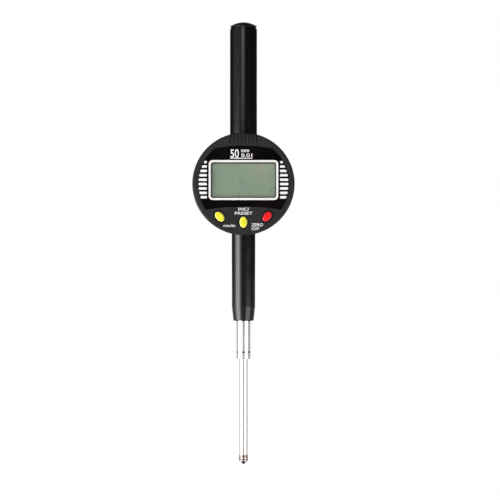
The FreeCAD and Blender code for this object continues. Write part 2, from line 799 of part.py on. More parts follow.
def make_spindle():
    radius = size("spindle_radius")
    shoulder = SEAT_TOP
    top = f"({SEAT_TOP} + {size('seat_boss')})"
    bore_top = f"({SPINDLE_LOW} + {size('thread_length')} + {size('thread_relief')})"
    points = [
        (size("thread_radius"), SPINDLE_LOW),
        (f"{radius} - {size('spindle_edge')}", SPINDLE_LOW),
        (radius, f"{SPINDLE_LOW} + {size('spindle_edge')}"),
        (radius, f"{shoulder} - {size('seat_thickness')} / 2"),
        (size("thread_radius"), f"{shoulder} - {size('seat_thickness')} / 2"),
        (size("thread_radius"), top),
        ("0", top),
        ("0", bore_top),
        (size("thread_radius"), bore_top),
    ]
    flat = block(
        f"-{radius}", radius, f"{FLAT_LOW} - {HEAD}", f"{FLAT_HIGH} - {HEAD}", size("flat_depth"), radius
    )
    pin_hole = disc(size("pin_radius"), f"-{radius}", "0", "0", f"{size('pin_height')} - {HEAD}")
    node(cut(turned(points), flat, pin_hole), "spindle")
    half = size("strip_half_width")
    strip = block(
        f"-{half}", half,
        f"{FLAT_LOW} - {HEAD} + {size('strip_margin')}", f"{FLAT_HIGH} - {HEAD} - {size('strip_margin')}",
        size("flat_depth"), f"{size('flat_depth')} + {size('strip_thickness')}",
    )
    node(strip, "scale_strip")
    pin = disc(size("pin_radius"), PIN_TIP, "0", "0", f"{size('pin_height')} - {HEAD}")
    node(pin, "guide_pin")


def make_spring_seat():
    bore = size("spindle_radius")
    shoulder = f"({SEAT_TOP} - {size('seat_thickness')} / 2)"
    points = [
        (bore, SEAT_LOW),
        (size("seat_radius"), SEAT_LOW),
        (size("seat_radius"), SEAT_TOP),
        (size("seat_boss_radius"), SEAT_TOP),
        (size("seat_boss_radius"), f"{SEAT_TOP} + {size('seat_boss')}"),
        (size("thread_radius"), f"{SEAT_TOP} + {size('seat_boss')}"),
        (size("thread_radius"), shoulder),
        (bore, shoulder),
    ]
    node(turned(points), "spring_seat")


def make_contact_point():
    body_top = f"({SPINDLE_LOW} - {size('contact_neck')})"
    body_low = f"({SPINDLE_LOW} - {size('contact_length')})"
    cone_low = f"({body_low} - {size('contact_cone')})"
    ring_inside = f"({size('contact_radius')} - {size('contact_ring_depth')})"
    upper = f"({SPINDLE_LOW} - {size('contact_length')} * {size('upper_ring_share')})"
    lower = f"({SPINDLE_LOW} - {size('contact_length')} * {size('lower_ring_share')})"
    wide = size("contact_ring_width")
    points = [
        ("0", cone_low),
        (size("contact_cone_radius"), cone_low),
        (size("contact_radius"), body_low),
        (size("contact_radius"), f"{lower} - {wide}"),
        (ring_inside, f"{lower} - {wide}"),
        (ring_inside, lower),
        (size("contact_radius"), lower),
        (size("contact_radius"), upper),
        (ring_inside, upper),
        (ring_inside, f"{upper} + {wide}"),
        (size("contact_radius"), f"{upper} + {wide}"),
        (size("contact_radius"), body_top),
        (size("contact_neck_radius"), body_top),
        (size("contact_neck_radius"), SPINDLE_LOW),
        (size("thread_radius"), SPINDLE_LOW),
        (size("thread_radius"), f"{SPINDLE_LOW} + {size('thread_length')}"),
        ("0", f"{SPINDLE_LOW} + {size('thread_length')}"),
    ]
    centre = f"({cone_low} - {size('ball_stand_out')} + {size('ball_radius')})"
    node(cut(turned(points), ball(size("ball_radius"), centre)), "contact_point")
    node(ball(size("ball_radius"), centre), "contact_ball")


# --- display head --------------------------------------------------------------------

BOSS_ANGLES = (40, 140, 205, 335)


def head_puck():
    """Solid outer form of the head, with its rounded front edge."""
    points = [
        ("0", PLATE_LOW),
        (size("head_radius"), PLATE_LOW),
        (size("head_radius"), HEAD_FRONT),
        ("0", HEAD_FRONT),
    ]
    return round_edges(turned(points, front=True), size("head_round"), rim_at(size("head_radius"), HEAD_FRONT))


def face_band(radius, low, high):
    """The face's outline: a disc between two shallow arcs that both bow upwards."""
    top_centre = f"{size('panel_top')} - {size('panel_top_curve')}"
    bottom_centre = f"-{size('panel_bottom')} - {size('panel_bottom_curve')}"
    under = common(disc(radius, low, high), disc(size("panel_top_curve"), low, high, "0", top_centre))
    return cut(under, disc(size("panel_bottom_curve"), low, high, "0", bottom_centre))


def button_places():
    """Name, side, place and lean of each button."""
    side = size("side_button_x")
    drop = size("side_button_drop")
    tilt = number(size("button_tilt"))
    return [
        ("button_units", f"-{side}", f"-{drop}", -tilt),
        ("button_preset", "0", f"-{size('middle_button_drop')}", 0.0),
        ("button_zero", side, f"-{drop}", tilt),
    ]


def make_front_shell():
    inner = f"({size('head_radius')} - {size('head_wall')})"
    hollow = cut(head_puck(), disc(inner, PLATE_LOW, WALL_INSIDE))
    bosses = []
    boss_holes = []
    hole_top = f"({WALL_INSIDE} - {size('head_wall')})"
    for angle in BOSS_ANGLES:
        x, up = around(size("boss_circle"), angle)
        bosses.append(disc(size("boss_radius"), PLATE_TOP, WALL_INSIDE, x, up))
        boss_holes.append(disc(size("small_screw_radius"), PLATE_TOP, hole_top, x, up))
    openings = [face_band(size("panel_radius"), RECESS, HEAD_FRONT)]
    ledge = f"2 * {size('window_ledge')}"
    openings.append(
        rounded_plate(
            f"{size('window_width')} - {ledge}", f"{size('window_height')} - {ledge}",
            size("window_corner"), WALL_INSIDE, HEAD_FRONT, size("window_lift"),
        )
    )
    for _, x, up, tilt in button_places():
        half_width = f"{size('button_half_width')} + {size('button_gap')}"
        half_height = f"{size('button_half_height')} + {size('button_gap')}"
        openings.append(oval(half_width, half_height, WALL_INSIDE, HEAD_FRONT, x, up, tilt))
    side = f"({size('tray_half_width')} + {size('tray_clearance')})"
    floor = f"{size('tray_face_low')} - {size('tray_clearance')}"
    rim = f"{size('head_radius')} + {PAST}"
    openings.append(block(f"-{side}", side, floor, rim, PLATE_TOP, f"{HEAD_FRONT} + {PAST}"))
    node(cut(fuse(hollow, *bosses), *boss_holes, *openings), "front_shell")


def make_face_panel():
    top = f"({RECESS} + {size('panel_thickness')})"
    radius = f"({size('panel_radius')} - {size('panel_clearance')})"
    window = rounded_plate(
        size("window_width"), size("window_height"), size("window_corner"), RECESS, top, size("window_lift")
    )
    node(cut(face_band(radius, RECESS, top), window), "face_panel")
    slack = f"2 * {size('lens_clearance')}"
    lens = rounded_plate(
        f"{size('window_width')} - {slack}", f"{size('window_height')} - {slack}",
        size("window_corner"), RECESS, f"{RECESS} + {size('lens_thickness')}", size("window_lift"),
    )
    node(lens, "window_lens")


def make_display():
    half = f"{size('lcd_width')} / 2"
    bottom = f"({size('window_lift')} - {size('lcd_height')} / 2)"
    top = f"({size('window_lift')} + {size('lcd_height')} / 2)"
    node(block(f"-{half}", half, bottom, top, LCD_LOW, WALL_INSIDE), "lcd_panel")
    inset = size("lens_clearance")
    tall = size("zebra_height")
    reach = f"({half} - {size('zebra_end')})"
    strips = [
        block(f"-{reach}", reach, f"{bottom} + {inset}", f"{bottom} + {inset} + {tall}", MAIN_TOP, LCD_LOW),
        block(f"-{reach}", reach, f"{top} - {inset} - {tall}", f"{top} - {inset}", MAIN_TOP, LCD_LOW),
    ]
    node(group(*strips), "zebra_strips")


def make_main_board():
    radius = size("main_board_radius")
    keep_clear = block(f"-{radius}", radius, size("main_board_top"), radius, MAIN_LOW, MAIN_TOP)
    node(cut(disc(radius, MAIN_LOW, MAIN_TOP), keep_clear), "main_board")
    chip_low = f"({MAIN_LOW} - {size('board_thickness')})"
    inner = f"({size('ring_radius')} + {size('chip_gap')})"
    wide = size("chip_width")
    bottom = f"-{size('chip_drop')} - {wide} / 2"
    top = f"{wide} / 2 - {size('chip_drop')}"
    small_top = f"-{inner} - {size('small_chip_gap')}"
    chips = [
        block(f"-{inner} - {wide}", f"-{inner}", bottom, top, chip_low, MAIN_LOW),
        block(inner, f"{inner} + {wide}", bottom, top, chip_low, MAIN_LOW),
        block(
            f"-{wide} / 2", f"{wide} / 2", f"{small_top} - {size('small_chip_height')}", small_top,
            chip_low, MAIN_LOW,
        ),
    ]
    node(group(*chips), "board_chips")


def make_button_mat():
    radius = f"({size('main_board_radius')} - {size('mat_edge')})"
    top = f"({MAIN_TOP} + {size('mat_thickness')})"
    flange_low = f"({WALL_INSIDE} - {size('button_stop_gap')} - {size('button_flange_height')})"
    pad_top = f"({flange_low} - {size('button_press')} - {size('pad_gap')})"
    ceiling = f"({size('window_lift')} - {size('lcd_height')} / 2 - {size('mat_edge')} - {size('mat_drop')})"
    sheet_part = common(
        disc(radius, MAIN_TOP, top), block(f"-{radius}", radius, f"-{radius}", ceiling, MAIN_TOP, top)
    )
    pads = [disc(size("mat_pad_radius"), MAIN_TOP, pad_top, x, up) for _, x, up, _ in button_places()]
    node(fuse(sheet_part, *pads), "button_mat")


def make_buttons():
    flange_top = f"({WALL_INSIDE} - {size('button_stop_gap')})"
    flange_low = f"({flange_top} - {size('button_flange_height')})"
    cap_top = f"({HEAD_FRONT} + {size('button_stand_out')})"
    wide = size("button_half_width")
    tall = size("button_half_height")
    brim = size("button_flange")
    for name, x, up, tilt in button_places():
        cap = oval(wide, tall, flange_low, cap_top, x, up, tilt)
        flange = oval(f"{wide} + {brim}", f"{tall} + {brim}", flange_low, flange_top, x, up, tilt)
        node(fuse(cap, flange), name)


def make_head_back_plate():
    radius = f"({size('head_radius')} - {size('head_wall')} - {size('plate_clearance')})"
    bore = f"{size('hub_radius')} + {size('hub_clearance')}"
    half_slot = f"({size('stop_pin_radius')} + {size('stop_clearance')})"
    # half the slot's angle: the turn limit, then the arc that half the slot's width takes up
    reach = f"({size('turn_limit')} + {half_slot} / {size('stop_circle')} * 180 / pi)"
    slot = disc(f"{size('stop_circle')} + {half_slot}", PLATE_LOW, PLATE_TOP)
    slot.setExpression("Angle", f"2 * {reach}")
    start = -90 - number(reach)
    slot_rotation = FACING_FRONT * FreeCAD.Rotation(FreeCAD.Vector(0, 0, 1), start)
    slot.Placement = FreeCAD.Placement(slot.Placement.Base, slot_rotation)
    slot_ring = cut(slot, disc(f"{size('stop_circle')} - {half_slot}", PLATE_LOW, PLATE_TOP))
    holes = [slot_ring, disc(bore, PLATE_LOW, PLATE_TOP)]
    screws = []
    for angle in BOSS_ANGLES:
        x, up = around(size("boss_circle"), angle)
        seat = f"({PLATE_LOW} + {size('small_head_height')})"
        holes.append(cone(size("small_head_radius"), size("small_screw_radius"), PLATE_LOW, seat, x, up))
        holes.append(disc(size("small_screw_radius"), seat, PLATE_TOP, x, up))
        screws.append(small_screw(PLATE_LOW, x, up, 1))
    node(cut(disc(radius, PLATE_LOW, PLATE_TOP), *holes), "head_back_plate")
    node(group(*screws), "head_screws")


# --- battery tray --------------------------------------------------------------------

def make_battery_tray():
    wide = size("tray_half_width")
    clear = size("tray_clearance")
    low = f"({PLATE_TOP} + {clear})"
    behind = f"({WALL_INSIDE} - {clear})"
    top = f"{size('head_radius')} + {PAST}"
    drawer = block(f"-{wide}", wide, size("tray_low"), size("tray_face_low"), low, behind)
    grip = block(f"-{wide}", wide, size("tray_face_low"), top, low, f"{HEAD_FRONT} + {PAST}")
    body = common(fuse(drawer, grip), head_puck())
    cell_low = f"({low} + {size('cell_clearance')} + {size('contact_strip')})"
    cell_high = f"({cell_low} + {size('cell_height')})"
    pocket_top = f"{cell_high} + {size('cell_clearance')}"
    pocket_radius = f"{size('cell_radius')} + {size('cell_clearance')}"
    pocket = disc(pocket_radius, low, pocket_top, "0", size("cell_centre"))
    floor = f"{HEAD_FRONT} - {size('rib_depth')}"
    start = f"({size('tray_face_low')} + {size('rib_margin')})"
    half = f"{size('rib_groove')} / 2"
    past_front = f"{HEAD_FRONT} + {PAST}"
    grooves = []
    count = int(number(size("rib_count")))
    for index in range(count):
        middle = f"({index} - ({size('rib_count')} - 1) / 2) * {size('rib_pitch')}"
        grooves.append(block(f"{middle} - {half}", f"{middle} + {half}", start, top, floor, past_front))
    node(cut(body, pocket, *grooves), "battery_tray")
    node(disc(size("cell_radius"), cell_low, cell_high, "0", size("cell_centre")), "battery_cell")


def make_battery_contacts():
    wide = size("contact_strip_half_width")
    bottom = f"{size('tray_low')} - {size('contact_tail')}"
    top = f"{size('tray_face_low')} - {size('contact_inset')}"
    strip = block(f"-{wide}", wide, bottom, top, PLATE_TOP, f"{PLATE_TOP} + {size('contact_strip')} / 2")
    node(strip, "battery_contact")


def make_everything():
    make_stem()
    make_stem_sleeve()
    make_nose_ring()
    make_lower_bush()
    make_guard_tube()
    make_tube_cap()
    make_upper_bush()
    make_bump_washer()
    make_return_spring()
    make_rear_case()
    make_back_cover()
    make_turret()
    make_reader()
    make_guide_rail()
    make_ribbon_cable()
    make_spindle()
    make_spring_seat()
    make_contact_point()
    make_front_shell()
    make_face_panel()
    make_display()
    make_main_board()
    make_button_mat()
    make_buttons()
    make_head_back_plate()
    make_battery_tray()
    make_battery_contacts()
    doc.recompute()


def check_everything():
    for piece in doc.Objects:
        if "Invalid" in piece.State or "Error" in piece.State:
            raise RuntimeError(f"{piece.Label} failed: {piece.State}")
    for piece in NODES:
        shape = piece.Shape
        if shape.isNull() or not shape.isValid() or shape.Volume <= 0:
            raise RuntimeError(f"{piece.Label} has no sound shape")


def export_everything():
    os.makedirs("parts", exist_ok=True)
    for piece in NODES:
        piece.Shape.exportStep(os.path.join("parts", f"{piece.Label}.step"))
        print(f"{piece.Label}: {piece.Shape.Volume:.2f} mm3, {len(piece.Shape.Solids)} solid(s)")


make_everything()
check_everything()
export_everything()
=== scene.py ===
import json
import math

import bmesh
import bpy
from mathutils import Euler, Matrix, Vector


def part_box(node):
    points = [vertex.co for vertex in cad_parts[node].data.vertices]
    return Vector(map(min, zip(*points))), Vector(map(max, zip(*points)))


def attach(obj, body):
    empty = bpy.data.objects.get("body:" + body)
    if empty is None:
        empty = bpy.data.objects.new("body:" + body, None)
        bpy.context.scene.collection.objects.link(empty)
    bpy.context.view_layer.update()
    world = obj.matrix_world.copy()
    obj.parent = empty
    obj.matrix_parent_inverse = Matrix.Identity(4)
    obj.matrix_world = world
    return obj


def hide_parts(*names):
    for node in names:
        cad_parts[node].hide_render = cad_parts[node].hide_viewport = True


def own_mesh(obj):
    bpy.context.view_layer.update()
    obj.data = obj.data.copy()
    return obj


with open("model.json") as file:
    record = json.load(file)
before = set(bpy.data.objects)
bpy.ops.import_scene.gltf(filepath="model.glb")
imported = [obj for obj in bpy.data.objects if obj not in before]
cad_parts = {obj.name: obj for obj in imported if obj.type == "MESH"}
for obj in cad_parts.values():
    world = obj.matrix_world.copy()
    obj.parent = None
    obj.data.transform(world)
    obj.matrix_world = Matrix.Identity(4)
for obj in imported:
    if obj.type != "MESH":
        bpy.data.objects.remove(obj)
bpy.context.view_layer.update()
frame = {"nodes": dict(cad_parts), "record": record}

bl_info = {
    "name": "Digital Dial Indicator",
    "version": (1, 0, 0),
    "blender": (4, 5, 0),
    "location": "View3D > Sidebar > Indicator",
    "description": "Finishes a 50 mm digital dial indicator piece by piece, with its studio",
    "category": "Object",
}

# Lengths in this file are millimetres unless a property says otherwise.  A depth is a
# distance towards the viewer, so depth = -Y; heights on the head are from its centre.
MM = 0.001
SEGMENTS = 144
ARC_STEPS = 5
HOLD = 0.12


def span(node):
    low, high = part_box(node)
    return low / MM, high / MM


def half_width(node):
    low, high = span(node)
    return (high.x - low.x) / 2


# --- places and sizes read from the frame ----------------------------------------------

SHELL_LOW, SHELL_HIGH = span("front_shell")
HEAD_Z = (SHELL_LOW.z + SHELL_HIGH.z) / 2
HEAD_R = half_width("front_shell")
FACE = -SHELL_LOW.y
SHELL_BACK = -SHELL_HIGH.y
PLATE_TOP = -span("head_back_plate")[0].y
PANEL_TOP = -span("face_panel")[0].y
PANEL_BACK = -span("face_panel")[1].y
PANEL_R = half_width("face_panel")
KEY_TOP = -span("button_preset")[0].y
WALL_BACK = -span("lcd_panel")[0].y
CASE_R = half_width("rear_case")
CASE_BACK = -span("rear_case")[1].y
TUBE_LOW = span("guard_tube")[0].z
TUBE_TOP = span("guard_tube")[1].z
TUBE_R = half_width("guard_tube")
CAP_TOP = span("tube_cap")[1].z
STEM_LOW = span("stem")[0].z
SLEEVE_LOW = span("stem_sleeve")[0].z
SLEEVE_TOP = span("stem_sleeve")[1].z
SPINDLE_R = half_width("spindle")
SPINDLE_LOW = span("spindle")[0].z
SPINDLE_TOP = span("spindle")[1].z
WINDOW_LOW, WINDOW_HIGH = span("window_lens")
WINDOW_Z = (WINDOW_LOW.z + WINDOW_HIGH.z) / 2 - HEAD_Z
CONTACT_GROOVES = (SPINDLE_LOW - 1.22, SPINDLE_LOW - 2.52)

# --- sizes that the frame's boxes don't give ---------------------------------------------

SPIGOT = 3.5
TUBE_WALL = 1.5
TUBE_SPIGOT_R = 6.45
UPPER_BUSH_R = 4.4
CASE_WALL = 3.0
CASE_FRONT_WALL = 1.5
CASE_FRONT = 8.2
SPOT_FACE = 1.5
HUB_R = 10.0
HUB_BORE_R = 8.0
HUB_TOP = 10.8
RING_GROOVE = (9.5, 10.2, 9.3)
STEM_R = 4.0
STEM_SHANK_R = 4.5
STEM_BORE_R = 3.2
SLEEVE_BORE_R = 5.3
SLEEVE_SPIGOT_R = 6.2
SLEEVE_TOP_R = 6.7
SEAT_GAP = 0.02
THREAD_R = 1.25
CAP_GROOVE_R = 7.2
NOSE_BORE_R = 2.6
SLEEVE_TURN_R = 6.575
SLEEVE_END_R = 5.75
SLEEVE_TAPER = 7.8
WALL = 1.5
BAND_TOP = (21.3, 82.0)
BAND_BOTTOM = (12.7, 127.0)
COVER_SCREW_CIRCLE = 25.2
COVER_HOLE_R = 0.8
COVER_HOLE_DEEP = 6.0
STOP_PIN_R = 0.9
STOP_CIRCLE = 18.0
BOSS_R = 1.6
BOSS_CIRCLE = 25.2
BOSS_ANGLES = (40, 140, 205, 335)
BOSS_HOLE_R = 0.6
BOSS_HOLE_TOP = WALL_BACK - WALL
TRAY_FACE_LOW = 22.1
CELL_CENTRE = 19.75


# === properties ==========================================================================

def colour_property(name, description, default):
    return bpy.props.FloatVectorProperty(
        name=name, description=description, default=default, size=3, min=0.0, max=1.0, subtype="COLOR"
    )


def length_property(name, description, millimetres):
    return bpy.props.FloatProperty(
        name=name, description=description, default=millimetres * MM, min=0.0, unit="LENGTH", precision=5
    )


class DialFinishes(bpy.types.PropertyGroup):
    case_black: colour_property("Case", "Matt moulded black of the case and head", (0.0046, 0.0045, 0.0052))
    face_black: colour_property("Face", "Gloss black of the printed face", (0.0007, 0.0005, 0.0006))
    tube_black: colour_property("Tube", "Satin black of the guard tube", (0.0014, 0.0014, 0.0018))
    sleeve_black: colour_property("Sleeve", "Polished black of the stem's sleeve", (0.0032, 0.0028, 0.0026))
    print_white: colour_property("Print", "White of the printed marks", (0.66, 0.66, 0.66))
    key_yellow: colour_property("Yellow key", "Yellow of the two left keys", (0.56, 0.53, 0.028))
    key_red: colour_property("Red key", "Red of the right key", (0.54, 0.0045, 0.008))
    lcd_green: colour_property("Display", "Grey-green of the resting display", (0.119, 0.188, 0.125))


class DialMarks(bpy.types.PropertyGroup):
    bar_count: bpy.props.IntProperty(
        name="Bars", description="White bars on each side of the display", default=9, min=1, max=30
    )
    bar_pitch: length_property("Bar pitch", "Distance from one white bar to the next", 2.44)
    bar_height: length_property("Bar height", "Height of each white bar", 1.36)
    bar_start: length_property("Bar start", "Distance of the bars' inner ends from the middle", 20.35)
    bar_circle: length_property("Bar circle", "Radius on which the bars end", 25.0)
    bar_drop: length_property("Bar drop", "How far the middle bar lies above the head's centre", 2.3)
    frame_width: length_property("Frame width", "Outer width of the white frame", 38.7)
    frame_height: length_property("Frame height", "Outer height of the white frame", 22.2)
    frame_corner: length_property("Frame corner", "Outer corner radius of the white frame", 2.3)
    ink: length_property("Ink", "Thickness of the printed marks", 0.03)


class DialStudio(bpy.types.PropertyGroup):
    camera_distance: bpy.props.FloatProperty(
        name="Camera distance", description="Distance of the camera from the spindle's axis",
        default=1.3, min=0.2, unit="LENGTH",
    )
    camera_height: bpy.props.FloatProperty(
        name="Camera height", description="Height of the camera above the stem's middle",
        default=0.0486, unit="LENGTH", precision=4,
    )
    camera_side: bpy.props.FloatProperty(
        name="Camera side", description="Distance of the camera to the right of the spindle's axis",
        default=0.00363, unit="LENGTH", precision=5,
    )
    view_height: bpy.props.FloatProperty(
        name="View height", description="Height that the picture takes in at the spindle's axis",
        default=0.2817, min=0.01, unit="LENGTH", precision=4,
    )
    left_glow: bpy.props.FloatProperty(
        name="Left softbox", description="Brightness of the wide low softbox on the left", default=2.0, min=0.0
    )
    core_glow: bpy.props.FloatProperty(
        name="Left core", description="Extra brightness of that softbox's middle", default=8.0, min=0.0
    )
    upper_glow: bpy.props.FloatProperty(
        name="Upper softbox", description="Brightness of the dim softbox above it", default=0.32, min=0.0
    )
    strip_glow: bpy.props.FloatProperty(
        name="Strip light", description="Brightness of the strip that lines the guard tube", default=2.6, min=0.0
    )
    back_glow: bpy.props.FloatProperty(
        name="Back softbox", description="Brightness of the softbox straight behind the indicator",
        default=1.6, min=0.0,
    )
    right_glow: bpy.props.FloatProperty(
        name="Right softbox", description="Brightness of the low softbox on the right", default=3.6, min=0.0
    )
    floor_glow: bpy.props.FloatProperty(
        name="Floor glow", description="Brightness of the pale floor as the object sees it", default=0.55, min=0.0
    )
    room_glow: bpy.props.FloatProperty(
        name="Room glow", description="Brightness of the room above it as the object sees it", default=0.05, min=0.0
    )


# === shader building =====================================================================

def add_node(tree, kind, inputs=None, **settings):
    node = tree.nodes.new(kind)
    for name, value in settings.items():
        setattr(node, name, value)
    for name, value in (inputs or {}).items():
        node.inputs[name].default_value = value
    return node


def new_group(name, inputs, outputs):
    """Shader node group with named sockets; returns the tree, its input node and its output node."""
    tree = bpy.data.node_groups.new(name, "ShaderNodeTree")
    for socket, kind, default in inputs:
        made = tree.interface.new_socket(name=socket, in_out="INPUT", socket_type=kind)
        if default is not None:
            made.default_value = default
    for socket, kind in outputs:
        tree.interface.new_socket(name=socket, in_out="OUTPUT", socket_type=kind)
    return tree, tree.nodes.new("NodeGroupInput"), tree.nodes.new("NodeGroupOutput")


def grain_group():
    """Fine spark-eroded grain: a height for bump, from two sizes of noise."""
    name = "Moulded Grain"
    if name in bpy.data.node_groups:
        return bpy.data.node_groups[name]
    tree, start, end = new_group(
        name,
        [("Vector", "NodeSocketVector", None), ("Scale", "NodeSocketFloat", 3000.0)],
        [("Height", "NodeSocketFloat")],
    )
    link = tree.links.new
    fine = add_node(tree, "ShaderNodeTexNoise", {"Detail": 3.0, "Roughness": 0.6})
    pits = add_node(tree, "ShaderNodeTexVoronoi", feature="SMOOTH_F1")
    half = add_node(tree, "ShaderNodeMath", {1: 0.55}, operation="MULTIPLY")
    both = add_node(tree, "ShaderNodeMath", operation="ADD")
    link(start.outputs["Vector"], fine.inputs["Vector"])
    link(start.outputs["Vector"], pits.inputs["Vector"])
    link(start.outputs["Scale"], fine.inputs["Scale"])
    link(start.outputs["Scale"], half.inputs[0])
    link(half.outputs[0], pits.inputs["Scale"])
    link(fine.outputs["Fac"], both.inputs[0])
    link(pits.outputs["Distance"], both.inputs[1])
    link(both.outputs[0], end.inputs["Height"])
    return tree


def handling_group():
    """Soft smudges and dust: a roughness between two values, and the mask behind it."""
    name = "Handling Marks"
    if name in bpy.data.node_groups:
        return bpy.data.node_groups[name]
    tree, start, end = new_group(
        name,
        [
            ("Vector", "NodeSocketVector", None), ("Scale", "NodeSocketFloat", 120.0),
            ("Low", "NodeSocketFloat", 0.3), ("High", "NodeSocketFloat", 0.4),
        ],
        [("Roughness", "NodeSocketFloat"), ("Mask", "NodeSocketFloat")],
    )
    link = tree.links.new
    cloud = add_node(tree, "ShaderNodeTexNoise", {"Detail": 2.0, "Roughness": 0.5, "Distortion": 0.4})
    mask = add_node(tree, "ShaderNodeMapRange", {"From Min": 0.36, "From Max": 0.66}, interpolation_type="SMOOTHSTEP")
    spread = add_node(tree, "ShaderNodeMapRange")
    link(start.outputs["Vector"], cloud.inputs["Vector"])
    link(start.outputs["Scale"], cloud.inputs["Scale"])
    link(cloud.outputs["Fac"], mask.inputs["Value"])
    link(mask.outputs["Result"], spread.inputs["Value"])
    link(start.outputs["Low"], spread.inputs["To Min"])
    link(start.outputs["High"], spread.inputs["To Max"])
    link(spread.outputs["Result"], end.inputs["Roughness"])
    link(mask.outputs["Result"], end.inputs["Mask"])
    return tree


def turned_group():
    """Fine rings left by turning or grinding about the upright axis: a height for bump."""
    name = "Turned Rings"
    if name in bpy.data.node_groups:
        return bpy.data.node_groups[name]
    tree, start, end = new_group(
        name,
        [("Vector", "NodeSocketVector", None), ("Scale", "NodeSocketFloat", 4000.0)],
        [("Height", "NodeSocketFloat")],
    )
    link = tree.links.new
    squash = add_node(tree, "ShaderNodeVectorMath", operation="MULTIPLY")
    squash.inputs[1].default_value = (0.02, 0.02, 1.0)
    rings = add_node(tree, "ShaderNodeTexNoise", {"Detail": 3.0, "Roughness": 0.7})
    link(start.outputs["Vector"], squash.inputs[0])
    link(squash.outputs[0], rings.inputs["Vector"])
    link(start.outputs["Scale"], rings.inputs["Scale"])
    link(rings.outputs["Fac"], end.inputs["Height"])
    return tree


def place_group(tree, group, vector, values=None):
    node = add_node(tree, "ShaderNodeGroup", node_tree=group)
    for name, value in (values or {}).items():
        node.inputs[name].default_value = value
    tree.links.new(vector, node.inputs["Vector"])
    return node


def finish_material(
    name, colour, roughness, metallic=0.0, second=None, cloud=120.0, grain=None, rings=None, alpha=1.0, sockets=None
):
    """Material with clouded colour and roughness, and bump from moulded grain or turned rings.

    roughness is a (low, high) pair, second the colour in the clouds, grain and rings are (scale, depth in mm).
    """
    material = bpy.data.materials.new(name)
    material.use_nodes = True
    tree = material.node_tree
    link = tree.links.new
    shader = tree.nodes["Principled BSDF"]
    shader.inputs["Metallic"].default_value = metallic
    shader.inputs["Alpha"].default_value = alpha
    for socket, value in (sockets or {}).items():
        shader.inputs[socket].default_value = value
    place = add_node(tree, "ShaderNodeTexCoord").outputs["Object"]
    marks = place_group(
        tree, handling_group(), place, {"Scale": cloud, "Low": roughness[0], "High": roughness[1]}
    )
    link(marks.outputs["Roughness"], shader.inputs["Roughness"])
    blend = add_node(tree, "ShaderNodeMix", data_type="RGBA")
    blend.inputs["A"].default_value = (*colour, 1.0)
    blend.inputs["B"].default_value = (*(second or [min(1.0, c * 1.18) for c in colour]), 1.0)
    link(marks.outputs["Mask"], blend.inputs["Factor"])
    link(blend.outputs["Result"], shader.inputs["Base Color"])
    if grain or rings:
        scale, depth = grain or rings
        relief = place_group(tree, grain_group() if grain else turned_group(), place, {"Scale": scale})
        bump = add_node(tree, "ShaderNodeBump", {"Strength": 1.0, "Distance": depth * MM})
        link(relief.outputs["Height"], bump.inputs["Height"])
        link(bump.outputs["Normal"], shader.inputs["Normal"])
    return material


def shading_parts(material):
    """The tree, shader, present colour and Object coordinates of a finish that is to be added to."""
    tree = material.node_tree
    shader = tree.nodes["Principled BSDF"]
    base = shader.inputs["Base Color"].links[0].from_socket
    place = next(node for node in tree.nodes if node.type == "TEX_COORD").outputs["Object"]
    return tree, shader, base, place


def tint(material, factor, colour, base=None):
    """Blend the colour so far, or a plain base colour, towards another one by a factor."""
    tree, shader, so_far, _ = shading_parts(material)
    blend = add_node(tree, "ShaderNodeMix", data_type="RGBA")
    if base is None:
        tree.links.new(so_far, blend.inputs["A"])
    else:
        blend.inputs["A"].default_value = (*base, 1.0)
    blend.inputs["B"].default_value = (*colour, 1.0)
    tree.links.new(factor, blend.inputs["Factor"])
    tree.links.new(blend.outputs["Result"], shader.inputs["Base Color"])


def depth_factor(tree, place, start, end):
    """0 at one distance towards the viewer and 1 at another, in mm."""
    parts = tree.nodes.new("ShaderNodeSeparateXYZ")
    reach = add_node(tree, "ShaderNodeMapRange", {"From Min": -start * MM, "From Max": -end * MM})
    tree.links.new(place, parts.inputs[0])
    tree.links.new(parts.outputs["Y"], reach.inputs["Value"])
    return reach.outputs["Result"]


# === finishes ============================================================================

MADE = {}


def finish(name):
    """The material of that name, made on first use."""
    if name not in MADE:
        if name in PLAIN_FINISHES:
            MADE[name] = finish_material(name, **PLAIN_FINISHES[name])
        else:
            MADE[name] = FINISHES[name](bpy.context.scene.dial_finishes)
    return MADE[name]


def case_black(colours):
    return finish_material(
        "case_black", tuple(colours.case_black), (0.40, 0.50), cloud=90.0, grain=(2600.0, 0.006),
    )


def rim_black(colours):
    warm = [c * 1.25 for c in colours.case_black]
    return finish_material(
        "rim_black", tuple(colours.case_black), (0.44, 0.54), second=warm, cloud=70.0, grain=(2300.0, 0.005),
        sockets={"Specular IOR Level": 0.3},
    )


def grip_black(colours):
    """The rim's black, with painted shade darkening the bottom of the thumb grip's grooves."""
    material = rim_black(colours)
    material.name = "grip_black"
    tree, _, _, place = shading_parts(material)
    # Painted shade: near-black tint towards the bottom of each groove.
    tint(material, depth_factor(tree, place, FACE - 0.15, FACE - 0.6), (0.002, 0.002, 0.002))
    return material


def face_gloss(colours):
    brown = (0.0026, 0.0016, 0.0018)
    return finish_material("face_gloss", tuple(colours.face_black), (0.045, 0.07), second=brown, cloud=45.0)


def tube_satin(colours):
    return finish_material(
        "tube_satin", tuple(colours.tube_black), (0.18, 0.20), cloud=140.0, rings=(2600.0, 0.0001),
        sockets={"Specular IOR Level": 0.42},
    )


def sleeve_polish(colours):
    return finish_material(
        "sleeve_polish", tuple(colours.sleeve_black), (0.14, 0.18), second=(0.0045, 0.0038, 0.0034), cloud=110.0,
        rings=(2400.0, 0.0001), sockets={"Specular IOR Level": 0.36},
    )


